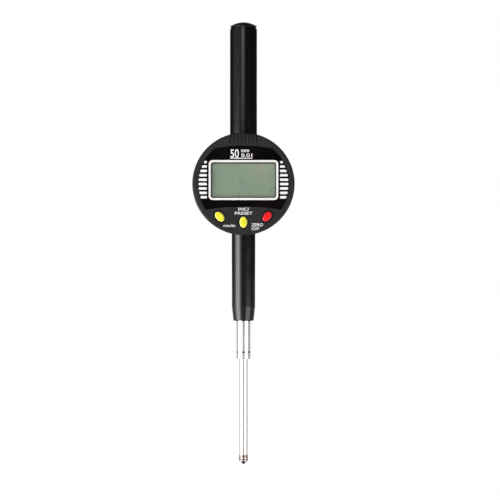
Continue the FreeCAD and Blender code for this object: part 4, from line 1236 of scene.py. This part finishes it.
def make_stem():
    top = span("stem")[1].z
    corners = [
        (STEM_BORE_R, STEM_LOW), (STEM_R, STEM_LOW, 0.22), (STEM_R, SLEEVE_LOW), (STEM_SHANK_R, SLEEVE_LOW),
        (STEM_SHANK_R, top, 0.2), (STEM_BORE_R, top),
    ]
    stem = turned_piece("stem_chromed", corners, "chrome", closed=True)
    seat(stem, "case", "chrome_stem", "stem")
    low, high = span("nose_ring")
    radius = half_width("nose_ring")
    bore = NOSE_BORE_R
    corners = [
        (bore, low.z, 0.1), (radius, low.z, 0.6), (radius, STEM_LOW, 0.28), (STEM_BORE_R - 0.05, STEM_LOW),
        (STEM_BORE_R - 0.05, high.z), (bore, high.z),
        (bore, low.z + 2.15), (3.1, low.z + 2.15), (3.1, low.z + 0.75), (bore, low.z + 0.75),
    ]
    ring = turned_piece("nose_ring_chromed", corners, "chrome", closed=True)
    seat(ring, "case", "chrome_stem", "nose_ring")


def make_spindle():
    strip_low, strip_high = span("scale_strip")
    flat_low, flat_high = strip_low.z - 0.5, strip_high.z + 0.5
    flat_depth = -strip_high.y
    seat_top = span("spring_seat")[1].z - 2.6
    step = 0.004
    corners = [
        (0.0, SPINDLE_LOW + 5.6), (THREAD_R, SPINDLE_LOW + 5.6), (THREAD_R, SPINDLE_LOW),
        (SPINDLE_R, SPINDLE_LOW, 0.14),
        (SPINDLE_R, flat_low - step), (SPINDLE_R, flat_low), (SPINDLE_R, flat_high), (SPINDLE_R, flat_high + step),
        (SPINDLE_R, seat_top - 0.45), (THREAD_R, seat_top - 0.45), (THREAD_R, SPINDLE_TOP, 0.1), (0.0, SPINDLE_TOP),
    ]
    spindle = turned_piece("spindle_ground", corners, "ground_steel", segments=96)
    for vertex in spindle.data.vertices:
        height = vertex.co.z / MM
        if flat_low - step / 2 < height < flat_high + step / 2 and vertex.co.y < -flat_depth * MM:
            vertex.co.y = -flat_depth * MM
    smooth(spindle.data)
    seat(spindle, "spindle_group", "steel_spindle", "spindle")


def make_contact():
    low, high = span("contact_point")
    radius = half_width("contact_point")
    groove = radius - 0.16
    body_low = SPINDLE_LOW - 3.5
    corners = [
        (0.0, low.z), (1.1, low.z), (radius, body_low, 0.25),
        (radius, SPINDLE_LOW - 2.68, 0.06), (groove, SPINDLE_LOW - 2.60), (groove, SPINDLE_LOW - 2.44),
        (radius, SPINDLE_LOW - 2.36, 0.06), (radius, SPINDLE_LOW - 1.38, 0.06), (groove, SPINDLE_LOW - 1.30),
        (groove, SPINDLE_LOW - 1.14), (radius, SPINDLE_LOW - 1.06, 0.06), (radius, SPINDLE_LOW - 0.2, 0.12),
        (2.1, SPINDLE_LOW - 0.2), (2.1, SPINDLE_LOW), (THREAD_R, SPINDLE_LOW), (THREAD_R, high.z, 0.1), (0.0, high.z),
    ]
    contact = turned_piece("contact_holder", corners, "contact_steel", segments=96)
    seat(contact, "spindle_group", "steel_spindle", "contact_point")
    ball_low, ball_high = span("contact_ball")
    ball_r = (ball_high.z - ball_low.z) / 2
    centre = (ball_high.z + ball_low.z) / 2
    steps = 24
    arc = []
    for index in range(steps + 1):
        angle = math.pi * index / steps
        arc.append((max(0.0, ball_r * math.sin(angle)), centre - ball_r * math.cos(angle)))
    ball = turned_piece("contact_tip_ball", arc, "dark_carbide", segments=48)
    seat(ball, "spindle_group", "dark_ball", "contact_ball")


def make_return_spring():
    low, high = span("return_spring")
    wire = 0.2
    tree, ids = coil_tree()
    length = high.z - low.z - 2 * wire
    values = {
        "Turns": 14.0, "Radius": 4.6 * MM, "Length": length * MM, "Wire": wire * MM,
        "Base": (0.0, 0.0, (low.z + wire) * MM),
    }
    spring = run_tree("return_coil", tree, ids, values, "spring_wire")
    close_up(spring.data)
    smooth(spring.data, 60.0)
    seat(spring, "case", "spring_steel", "return_spring")
    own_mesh(spring)


# === pieces: case ========================================================================

def make_rear_case():
    inside = CASE_FRONT - CASE_FRONT_WALL
    bore = CASE_R - CASE_WALL
    groove_low, groove_high, groove_r = RING_GROOVE
    corners = [
        (HUB_BORE_R, inside), (bore, inside), (bore, CASE_BACK), (CASE_R, CASE_BACK, 0.15),
        (CASE_R, CASE_FRONT, 0.35),
        (HUB_R, CASE_FRONT), (HUB_R, groove_low), (groove_r, groove_low), (groove_r, groove_high),
        (HUB_R, groove_high), (HUB_R, HUB_TOP, 0.2), (HUB_BORE_R, HUB_TOP),
    ]
    case = turned_piece("rear_case_body", corners, "case_black", closed=True, front=True)
    spot_top = HEAD_Z + CASE_R - SPOT_FACE
    spot_low = HEAD_Z - CASE_R + SPOT_FACE
    reach = CASE_WALL + 2
    tube_seat = TUBE_R + SEAT_GAP
    sleeve_seat = SLEEVE_TOP_R + SEAT_GAP
    cutters = [
        turned_mesh("bore", [(0, HEAD_Z), (TUBE_SPIGOT_R, HEAD_Z), (TUBE_SPIGOT_R, spot_top + 1), (0, spot_top + 1)]),
        turned_mesh(
            "spot",
            [(0, spot_top), (tube_seat, spot_top), (tube_seat, spot_top + reach), (0, spot_top + reach)],
        ),
        turned_mesh(
            "bore", [(0, spot_low - 1), (SLEEVE_SPIGOT_R, spot_low - 1), (SLEEVE_SPIGOT_R, HEAD_Z), (0, HEAD_Z)]
        ),
        turned_mesh(
            "spot",
            [(0, spot_low - reach), (sleeve_seat, spot_low - reach), (sleeve_seat, spot_low), (0, spot_low)],
        ),
    ]
    for index in range(4):
        angle = math.radians(45 + 90 * index)
        cutters.append(post_mesh(COVER_HOLE_R, CASE_BACK - 1, CASE_BACK + COVER_HOLE_DEEP, COVER_SCREW_CIRCLE, angle))
    cutters.append(post_mesh(STOP_PIN_R, inside - 1, CASE_FRONT + 1, STOP_CIRCLE, math.radians(-90)))
    carve(case, cutters)
    soften(case, 0.08)
    seat(case, "case", "black_case", "rear_case")


def post_mesh(radius, low, high, circle, angle, top_radius=None, segments=40):
    """Closed round post facing the viewer, its axis on a circle about the head's centre."""
    upper = radius if top_radius is None else top_radius
    mesh = turned_mesh("post", [(0, low), (radius, low), (upper, high), (0, high)], front=True, segments=segments)
    mesh.transform(Matrix.Translation(Vector((circle * math.cos(angle), 0.0, circle * math.sin(angle))) * MM))
    return mesh


def make_back_cover():
    low, high = span("back_cover")
    outside = -high.y
    lip_top = -low.y
    lip_r = CASE_R - CASE_WALL - 0.1
    lip_in = lip_r - 2.4
    groove_low, groove_high = (-span("back_seal")[1].y, -span("back_seal")[0].y)
    groove_r = lip_r - 0.7
    corners = [
        (0.0, outside + 0.25), (19.6, outside + 0.25, 0.15), (20.0, outside, 0.2), (CASE_R, outside, 0.5),
        (CASE_R, CASE_BACK, 0.12), (lip_r, CASE_BACK), (lip_r, groove_low), (groove_r, groove_low),
        (groove_r, groove_high), (lip_r, groove_high), (lip_r, lip_top, 0.1), (lip_in, lip_top), (lip_in, CASE_BACK),
        (0.0, CASE_BACK),
    ]
    cover = turned_piece("back_cover_plate", corners, "case_black", front=True)
    cutters = []
    for index in range(4):
        angle = math.radians(45 + 90 * index)
        sink = post_mesh(1.44, outside - 0.02, outside + 0.82, COVER_SCREW_CIRCLE, angle, top_radius=COVER_HOLE_R)
        hole = post_mesh(COVER_HOLE_R, outside + 0.5, CASE_BACK + 0.5, COVER_SCREW_CIRCLE, angle)
        cutters += [sink, hole]
    carve(cover, cutters)
    soften(cover, 0.05)
    seat(cover, "case", "black_case", "back_cover")
    make_cover_screws(outside)


def make_cover_screws(outside):
    head, shank, drop, length = 1.36, 0.78, 0.8, 6.0
    corners = [(0, 0.04), (head, 0.04, 0.06), (shank, drop), (shank, length, 0.15), (0, length)]
    screw = turned_piece("cover_screw", corners, "screw_steel", segments=48)
    slot_half, slot_reach = 0.14, 0.75
    cross = [
        block_mesh("cross", (-slot_half, -slot_reach, -0.5), (slot_half, slot_reach, 0.55)),
        block_mesh("cross", (-slot_reach, -slot_half, -0.5), (slot_reach, slot_half, 0.55)),
    ]
    carve(screw, cross)
    soften(screw, 0.025, segments=1)
    screw.data.transform(Matrix.Rotation(math.pi / 2, 4, "X"))
    tree, ids = ring_tree()
    values = {"Count": 4, "Circle": COVER_SCREW_CIRCLE * MM, "Screw": screw}
    screws = run_tree("back_cover_screw_set", tree, ids, values, "screw_steel")
    screws.data.transform(Matrix.Translation(Vector((0.0, -outside, HEAD_Z)) * MM))
    bpy.data.objects.remove(screw)
    seat(screws, "case", "screw_steel", "back_cover_screws")


# === pieces: display head ================================================================

KEYS = [
    ("button_units", "units_button", "key_yellow", "yellow_button", -40.0),
    ("button_preset", "preset_button", "key_yellow", "yellow_button", 0.0),
    ("button_zero", "zero_button", "key_red", "red_button", 40.0),
]
KEY_HALF = (2.175, 3.2)
KEY_GAP = 0.65


def key_centre(node):
    low, high = span(node)
    return (low.x + high.x) / 2, (low.z + high.z) / 2 - HEAD_Z


def puck_corners():
    return [
        (0.0, SHELL_BACK), (HEAD_R, SHELL_BACK, 0.25), (HEAD_R, FACE, 0.9), (0.0, FACE),
    ]


def make_front_shell():
    inner = HEAD_R - WALL
    corners = [
        (0.0, WALL_BACK), (inner, WALL_BACK), (inner, SHELL_BACK), (HEAD_R, SHELL_BACK, 0.25),
        (HEAD_R, FACE, 0.9), (0.0, FACE),
    ]
    shell = turned_piece("head_shell", corners, "rim_black", front=True, segments=192)
    ledge = 0.35
    window = rounded_rectangle(
        WINDOW_HIGH.x - WINDOW_LOW.x + 0.1 - 2 * ledge, WINDOW_HIGH.z - WINDOW_LOW.z + 0.1 - 2 * ledge, 1.1, WINDOW_Z
    )
    cutters = [
        flat_mesh("recess", [band_outline(PANEL_R + 0.05)], PANEL_BACK, FACE + 1),
        flat_mesh("window", [window], WALL_BACK - 1, FACE + 1),
    ]
    for node, _, _, _, lean in KEYS:
        x, up = key_centre(node)
        outline = oval_outline(KEY_HALF[0] + KEY_GAP, KEY_HALF[1] + KEY_GAP, x, up, lean)
        cutters.append(flat_mesh("key_hole", [outline], WALL_BACK - 1, FACE + 1))
    side = half_width("battery_tray") + 0.1
    floor = TRAY_FACE_LOW - 0.1 + HEAD_Z
    cutters.append(block_mesh("tray_slot", (-side, -FACE - 1, floor), (side, -PLATE_TOP, HEAD_Z + HEAD_R + 1)))
    carve(shell, cutters)
    angles = [math.radians(degrees) for degrees in BOSS_ANGLES]
    carve(shell, [post_mesh(BOSS_R, PLATE_TOP, WALL_BACK + 0.05, BOSS_CIRCLE, angle) for angle in angles], "UNION")
    carve(shell, [post_mesh(BOSS_HOLE_R, PLATE_TOP - 1, BOSS_HOLE_TOP, BOSS_CIRCLE, angle) for angle in angles])
    soften(shell, 0.14)
    seat(shell, "display_head", "black_case", "front_shell")


def make_face_panel():
    window = rounded_rectangle(WINDOW_HIGH.x - WINDOW_LOW.x + 0.1, WINDOW_HIGH.z - WINDOW_LOW.z + 0.1, 1.2, WINDOW_Z)
    panel = flat_piece("face_plate", [band_outline(PANEL_R), window], PANEL_BACK, PANEL_TOP, "face_gloss", edge=0.06)
    seat(panel, "display_head", "gloss_face", "face_panel")


def make_marks(marks):
    """White frame and side bars, as thin ink on the face."""
    ink = marks.ink / MM
    outer = rounded_rectangle(marks.frame_width / MM, marks.frame_height / MM, marks.frame_corner / MM, WINDOW_Z)
    inner = rounded_rectangle(WINDOW_HIGH.x - WINDOW_LOW.x + 0.3, WINDOW_HIGH.z - WINDOW_LOW.z + 0.3, 1.25, WINDOW_Z)
    border = flat_piece("display_border", [outer, inner], PANEL_TOP, PANEL_TOP + ink, "white_print")
    seat(border, "display_head", "gloss_face")
    tree, ids = bars_tree()
    values = {
        "Count": marks.bar_count, "Pitch": marks.bar_pitch, "Height": marks.bar_height, "Inner": marks.bar_start,
        "Circle": marks.bar_circle, "Rise": marks.bar_drop, "Corner": 0.4 * MM, "Ink": marks.ink,
    }
    bars = run_tree("side_bars", tree, ids, values, "white_print")
    stand_up(bars.data, PANEL_TOP)
    close_up(bars.data)
    seat(bars, "display_head", "gloss_face")


def letter_mesh(text, width, height, x, up, depth, ink, boldness=0.012, slant=0.0):
    """Lettering fitted to a width and height about a point on the head."""
    curve = bpy.data.curves.new(text, "FONT")
    curve.body = text
    curve.size = 1.0
    curve.offset = boldness
    curve.shear = slant
    curve.resolution_u = 4
    curve.extrude = 0.5
    holder = bpy.data.objects.new(text, curve)
    mesh = bpy.data.meshes.new_from_object(holder)
    bpy.data.objects.remove(holder)
    bpy.data.curves.remove(curve)
    xs = [vertex.co.x for vertex in mesh.vertices]
    ys = [vertex.co.y for vertex in mesh.vertices]
    centre = Vector(((min(xs) + max(xs)) / 2, (min(ys) + max(ys)) / 2, 0.0))
    scale = Vector((width / (max(xs) - min(xs)), height / (max(ys) - min(ys)), ink)) * MM
    for vertex in mesh.vertices:
        offset = vertex.co - centre
        vertex.co = Vector((offset.x * scale.x, offset.y * scale.y, offset.z * scale.z))
    mesh.transform(Matrix.Translation(Vector((x, up, 0.0)) * MM))
    stand_up(mesh, depth + ink / 2)
    close_up(mesh, 1e-8)
    return mesh


def make_lettering(marks):
    ink = marks.ink / MM
    labels = [
        # name, text, width, height, x, up, depth, slant
        ("label_units", "mm/in", 6.4, 1.7, -7.9, -23.2, FACE, 0.0),
        ("label_preset_upper", "INC/", 6.0, 1.65, 0.2, -14.05, FACE, 0.0),
        ("label_preset_lower", "PRESET", 9.8, 1.65, 0.1, -16.35, FACE, 0.0),
        ("label_zero_upper", "ZERO", 6.7, 1.75, 7.6, -22.8, FACE, 0.15),
        ("label_zero_lower", "/OFF", 4.6, 1.65, 6.5, -25.0, FACE, 0.15),
        ("label_range_figure", "50", 4.7, 4.6, -4.9, 16.9, PANEL_TOP, 0.0),
        ("label_range_unit", "mm", 4.4, 1.5, 0.9, 18.3, PANEL_TOP, 0.0),
        ("label_resolution", "0.01", 6.2, 1.9, 1.8, 15.95, PANEL_TOP, 0.0),
    ]
    for name, text, width, height, x, up, depth, slant in labels:
        mesh = letter_mesh(text, width, height, x, up, depth, ink, slant=slant)
        mesh.name = name
        piece = new_piece(name, mesh, "white_print")
        slot = "gloss_face" if depth == PANEL_TOP else "black_case"
        seat(piece, "display_head", slot)
    line = [(-7.4, 14.05), (5.0, 14.05), (5.0, 14.5), (-7.4, 14.5)]
    rule = flat_piece("label_underline", [line], PANEL_TOP, PANEL_TOP + ink, "white_print")
    seat(rule, "display_head", "gloss_face")


def key_mesh(name, x, up, lean, low, high):
    """Oval key: a retaining flange below, and a cap with a soft shoulder and a faintly dished top."""
    wide, tall = KEY_HALF
    brim = 1.0
    flange_top = low + 0.85
    shoulder = 0.9
    levels = [
        (brim, low), (brim, flange_top - 0.1), (brim - 0.1, flange_top), (0.0, flange_top), (0.0, high - shoulder),
    ]
    for index in range(1, 7):
        angle = math.pi / 2 * index / 6
        levels.append((-shoulder * (1 - math.cos(angle)), high - shoulder + shoulder * math.sin(angle)))
    for inset, dip in ((1.05, 0.01), (1.3, 0.04), (1.6, 0.07), (1.9, 0.08)):
        levels.append((-inset, high - dip))
    shape = bmesh.new()
    steps = 72
    rings = []
    for inset, depth in levels:
        outline = oval_outline(wide + inset, tall + inset, x, up, lean, steps)
        rings.append([shape.verts.new(Vector((a, -depth, b + HEAD_Z)) * MM) for a, b in outline])
    for lower, upper in zip(rings, rings[1:]):
        bridge_rings(shape, lower, upper, steps)
    shape.faces.new(rings[0])
    shape.faces.new(rings[-1])
    mesh = bpy.data.meshes.new(name)
    shape.to_mesh(mesh)
    shape.free()
    close_up(mesh)
    smooth(mesh, 40.0)
    return mesh


def make_keys():
    for node, body, look, slot, lean in KEYS:
        x, up = key_centre(node)
        low, high = span(node)
        mesh = key_mesh(node + "_cap", x, up, lean, -high.y, -low.y)
        seat(new_piece(node + "_cap", mesh, look), body, slot, node)


# === pieces: battery drawer ==============================================================

def make_battery_drawer():
    wide = half_width("battery_tray")
    tray_low = span("battery_tray")[0].z
    back = -span("battery_tray")[1].y
    behind = WALL_BACK - 0.1
    top = HEAD_Z + HEAD_R + 1
    face_low = HEAD_Z + TRAY_FACE_LOW
    tray = new_piece(
        "battery_drawer_tray", block_mesh("tray", (-wide, -FACE - 1, face_low), (wide, -back, top)), "grip_black"
    )
    drawer = block_mesh("drawer", (-wide, -behind, tray_low), (wide, -back, face_low + 0.5))
    carve(tray, [drawer], "UNION")
    carve(tray, [turned_mesh("puck", puck_corners(), front=True, segments=192)], "INTERSECT")
    cell_r = half_width("battery_cell") + 0.05
    cell_top = -span("battery_cell")[0].y + 0.05
    pocket = [(0, back - 1), (cell_r, back - 1), (cell_r, cell_top), (0, cell_top)]
    hole = turned_mesh("pocket", pocket, front=True, segments=96)
    hole.transform(Matrix.Translation(Vector((0.0, 0.0, CELL_CENTRE)) * MM))
    tree, ids = grooves_tree()
    groove_low = face_low + 0.8
    groove_depth = 0.9
    values = {
        "Count": 8, "Pitch": 2.05 * MM, "Size": (0.85 * MM, 2 * groove_depth * MM, (top - groove_low) * MM),
        "Middle": (0.0, -FACE * MM, (top + groove_low) / 2 * MM),
    }
    bars = run_tree("groove_bars", tree, ids, values, "rim_black")
    grooves = bars.data.copy()
    bpy.data.objects.remove(bars)
    carve(tray, [hole, grooves])
    soften(tray, 0.1)
    seat(tray, "battery_drawer", "black_case", "battery_tray")
    make_cell()


def make_cell():
    low, high = span("battery_cell")
    back, front = -high.y, -low.y
    radius = half_width("battery_cell")
    corners = [
        (0.0, back + 0.12), (4.6, back + 0.12), (4.75, back, 0.1), (radius - 0.35, back), (radius, back + 0.45, 0.3),
        (radius, front - 0.9, 0.05), (radius - 0.14, front - 0.75), (radius - 0.14, front - 0.62),
        (radius - 0.5, front - 0.5, 0.2), (radius - 1.1, front, 0.3), (0.0, front),
    ]
    mesh = turned_mesh("button_cell", corners, front=True, segments=96)
    mesh.transform(Matrix.Translation(Vector((0.0, 0.0, CELL_CENTRE)) * MM))
    smooth(mesh)
    seat(new_piece("button_cell", mesh, "nickel_can"), "battery_drawer", "cell_steel", "battery_cell")


# === inside pieces and studio ============================================================

def paint_frame_nodes():
    """Give every node of the frame its finish, by its material slot."""
    slots = {entry["node"]: entry["material_slot"] for entry in frame["record"]["subparts"]}
    for node, holder in frame["nodes"].items():
        look = finish(SLOT_FINISH[slots[node]])
        if not holder.material_slots:
            holder.data.materials.append(look)
        for place in holder.material_slots:
            place.material = look


def room_material(studio):
    """Pale room: plain white as the camera sees it, dim and brighter towards the floor as it lights the object."""
    material = bpy.data.materials.new("pale_room")
    material.use_nodes = True
    tree = material.node_tree
    link = tree.links.new
    tree.nodes.clear()
    rays = tree.nodes.new("ShaderNodeLightPath")
    seen = add_node(tree, "ShaderNodeEmission", {"Color": (1.0, 1.0, 1.0, 1.0), "Strength": 1.0})
    felt = add_node(tree, "ShaderNodeEmission", {"Color": (1.0, 0.95, 0.92, 1.0)})
    place = tree.nodes.new("ShaderNodeTexCoord")
    parts = tree.nodes.new("ShaderNodeSeparateXYZ")
    fade = add_node(
        tree, "ShaderNodeMapRange",
        {"From Min": -0.10, "From Max": 0.03, "To Min": studio.floor_glow, "To Max": studio.room_glow},
        interpolation_type="SMOOTHSTEP",
    )
    choose = tree.nodes.new("ShaderNodeMixShader")
    end = tree.nodes.new("ShaderNodeOutputMaterial")
    link(place.outputs["Object"], parts.inputs[0])
    link(parts.outputs["Z"], fade.inputs["Value"])
    link(fade.outputs["Result"], felt.inputs["Strength"])
    link(rays.outputs["Is Camera Ray"], choose.inputs[0])
    link(felt.outputs[0], choose.inputs[1])
    link(seen.outputs[0], choose.inputs[2])
    link(choose.outputs[0], end.inputs["Surface"])
    return material


def make_room(studio):
    """Pale floor that sweeps up into a domed room."""
    low, high, wide = -750.0, 2600.0, 2600.0
    corners = [(0.0, low), (wide, low, 600.0), (wide, high, 1500.0), (0.0, high)]
    mesh = turned_mesh("pale_room", corners, segments=64)
    mesh.flip_normals()
    smooth(mesh, 80.0)
    mesh.materials.append(room_material(studio))
    room = bpy.data.objects.new("pale_room", mesh)
    bpy.context.scene.collection.objects.link(room)


def aim(holder, target):
    holder.rotation_euler = (target - holder.location).to_track_quat("-Z", "Y").to_euler()


def add_softbox(name, angle, distance, low, high, width, glow, colour):
    """Upright rectangular light between two heights, at an angle from the camera, positive to the right."""
    light = bpy.data.lights.new(name, "AREA")
    light.shape = "RECTANGLE"
    light.size, light.size_y = width, high - low
    light.energy = glow * math.pi * width * (high - low)
    light.color = colour
    holder = bpy.data.objects.new(name, light)
    turn = math.radians(angle)
    height = (low + high) / 2
    holder.location = Vector((math.sin(turn) * distance, -math.cos(turn) * distance, height))
    bpy.context.scene.collection.objects.link(holder)
    aim(holder, Vector((0.0, 0.0, height)))
    holder.visible_camera = False
    return holder


def make_lights(studio):
    warm = (1.0, 0.985, 0.955)
    add_softbox("left_softbox", -60.0, 0.8, -0.55, 0.09, 1.3, studio.left_glow, warm)
    add_softbox("left_core", -58.0, 0.78, -0.55, 0.10, 0.56, studio.core_glow, warm)
    add_softbox("upper_softbox", -60.0, 0.8, 0.12, 0.7, 1.3, studio.upper_glow, warm)
    add_softbox("back_softbox", 176.0, 1.1, -0.45, 0.65, 0.7, studio.back_glow, warm)
    add_softbox("strip_light", -5.0, 0.9, 0.19, 0.75, 0.40, studio.strip_glow, warm)
    add_softbox("right_softbox", 48.0, 0.85, -0.55, -0.018, 0.76, studio.right_glow, (1.0, 0.99, 0.98))


def make_camera(studio):
    camera = bpy.data.cameras.new("camera")
    camera.sensor_width = 36.0
    camera.lens = camera.sensor_width * studio.camera_distance / studio.view_height
    camera.clip_start = 0.01
    camera.clip_end = 20.0
    holder = bpy.data.objects.new("camera", camera)
    holder.location = Vector((studio.camera_side, -studio.camera_distance, studio.camera_height))
    holder.rotation_euler = Euler((math.pi / 2, 0.0, 0.0))
    bpy.context.scene.collection.objects.link(holder)
    bpy.context.scene.camera = holder
    bpy.context.scene.view_settings.view_transform = "Standard"


# === operators and panel =================================================================

class DIAL_OT_inside(bpy.types.Operator):
    """Give the frame's own pieces, inside and out, their finishes"""
    bl_idname = "dial.inside"
    bl_label = "Inside pieces"

    def execute(self, context):
        paint_frame_nodes()
        return {"FINISHED"}


class DIAL_OT_tubes(bpy.types.Operator):
    """Make the guard tube, its domed cap and the stem's sleeve"""
    bl_idname = "dial.tubes"
    bl_label = "Guard tube and sleeve"

    def execute(self, context):
        make_guard_tube()
        make_tube_cap()
        make_sleeve()
        return {"FINISHED"}


class DIAL_OT_stem(bpy.types.Operator):
    """Make the chromed stem and its end ring"""
    bl_idname = "dial.stem"
    bl_label = "Stem"

    def execute(self, context):
        make_stem()
        return {"FINISHED"}


class DIAL_OT_spindle(bpy.types.Operator):
    """Make the spindle, its contact point and ball, and the return spring"""
    bl_idname = "dial.spindle"
    bl_label = "Spindle, contact and spring"

    def execute(self, context):
        make_spindle()
        make_contact()
        make_return_spring()
        return {"FINISHED"}


class DIAL_OT_case(bpy.types.Operator):
    """Make the rear case, its back cover and the cover's screws"""
    bl_idname = "dial.case"
    bl_label = "Case"

    def execute(self, context):
        make_rear_case()
        make_back_cover()
        return {"FINISHED"}


class DIAL_OT_head(bpy.types.Operator):
    """Make the display head's shell and its gloss face"""
    bl_idname = "dial.head"
    bl_label = "Display head"

    def execute(self, context):
        make_front_shell()
        make_face_panel()
        return {"FINISHED"}


class DIAL_OT_marks(bpy.types.Operator):
    """Print the white frame, the side bars and the lettering"""
    bl_idname = "dial.marks"
    bl_label = "Printed marks"

    def execute(self, context):
        make_marks(context.scene.dial_marks)
        make_lettering(context.scene.dial_marks)
        return {"FINISHED"}


class DIAL_OT_keys(bpy.types.Operator):
    """Make the three oval keys"""
    bl_idname = "dial.keys"
    bl_label = "Keys"

    def execute(self, context):
        make_keys()
        return {"FINISHED"}


class DIAL_OT_battery(bpy.types.Operator):
    """Make the ribbed battery drawer and its cell"""
    bl_idname = "dial.battery"
    bl_label = "Battery drawer"

    def execute(self, context):
        make_battery_drawer()
        return {"FINISHED"}


class DIAL_OT_studio(bpy.types.Operator):
    """Set up the pale room, the softboxes and the camera"""
    bl_idname = "dial.studio"
    bl_label = "Studio"

    def execute(self, context):
        studio = context.scene.dial_studio
        make_room(studio)
        make_lights(studio)
        make_camera(studio)
        return {"FINISHED"}


OPERATORS = (
    DIAL_OT_inside, DIAL_OT_tubes, DIAL_OT_stem, DIAL_OT_spindle, DIAL_OT_case, DIAL_OT_head, DIAL_OT_marks,
    DIAL_OT_keys, DIAL_OT_battery, DIAL_OT_studio,
)


class DIAL_PT_panel(bpy.types.Panel):
    """Lists the indicator's pieces and their settings"""
    bl_idname = "DIAL_PT_panel"
    bl_label = "Dial indicator"
    bl_space_type = "VIEW_3D"
    bl_region_type = "UI"
    bl_category = "Indicator"

    def draw(self, context):
        for operator in OPERATORS:
            self.layout.operator(operator.bl_idname)
        for group in (context.scene.dial_finishes, context.scene.dial_marks, context.scene.dial_studio):
            box = self.layout.box()
            for name in group.bl_rna.properties.keys():
                if name not in ("rna_type", "name"):
                    box.prop(group, name)


GROUPS = {"dial_finishes": DialFinishes, "dial_marks": DialMarks, "dial_studio": DialStudio}


def register():
    for group in GROUPS.values():
        bpy.utils.register_class(group)
    for name, group in GROUPS.items():
        setattr(bpy.types.Scene, name, bpy.props.PointerProperty(type=group))
    for operator in OPERATORS:
        bpy.utils.register_class(operator)
    bpy.utils.register_class(DIAL_PT_panel)


def unregister():
    bpy.utils.unregister_class(DIAL_PT_panel)
    for operator in reversed(OPERATORS):
        bpy.utils.unregister_class(operator)
    for name in GROUPS:
        delattr(bpy.types.Scene, name)
    for group in reversed(GROUPS.values()):
        bpy.utils.unregister_class(group)


def main():
    register()
    bpy.ops.dial.inside()
    bpy.ops.dial.tubes()
    bpy.ops.dial.stem()
    bpy.ops.dial.spindle()
    bpy.ops.dial.case()
    bpy.ops.dial.head()
    bpy.ops.dial.marks()
    bpy.ops.dial.keys()
    bpy.ops.dial.battery()
    bpy.ops.dial.studio()


if __name__ == "__main__":
    main()
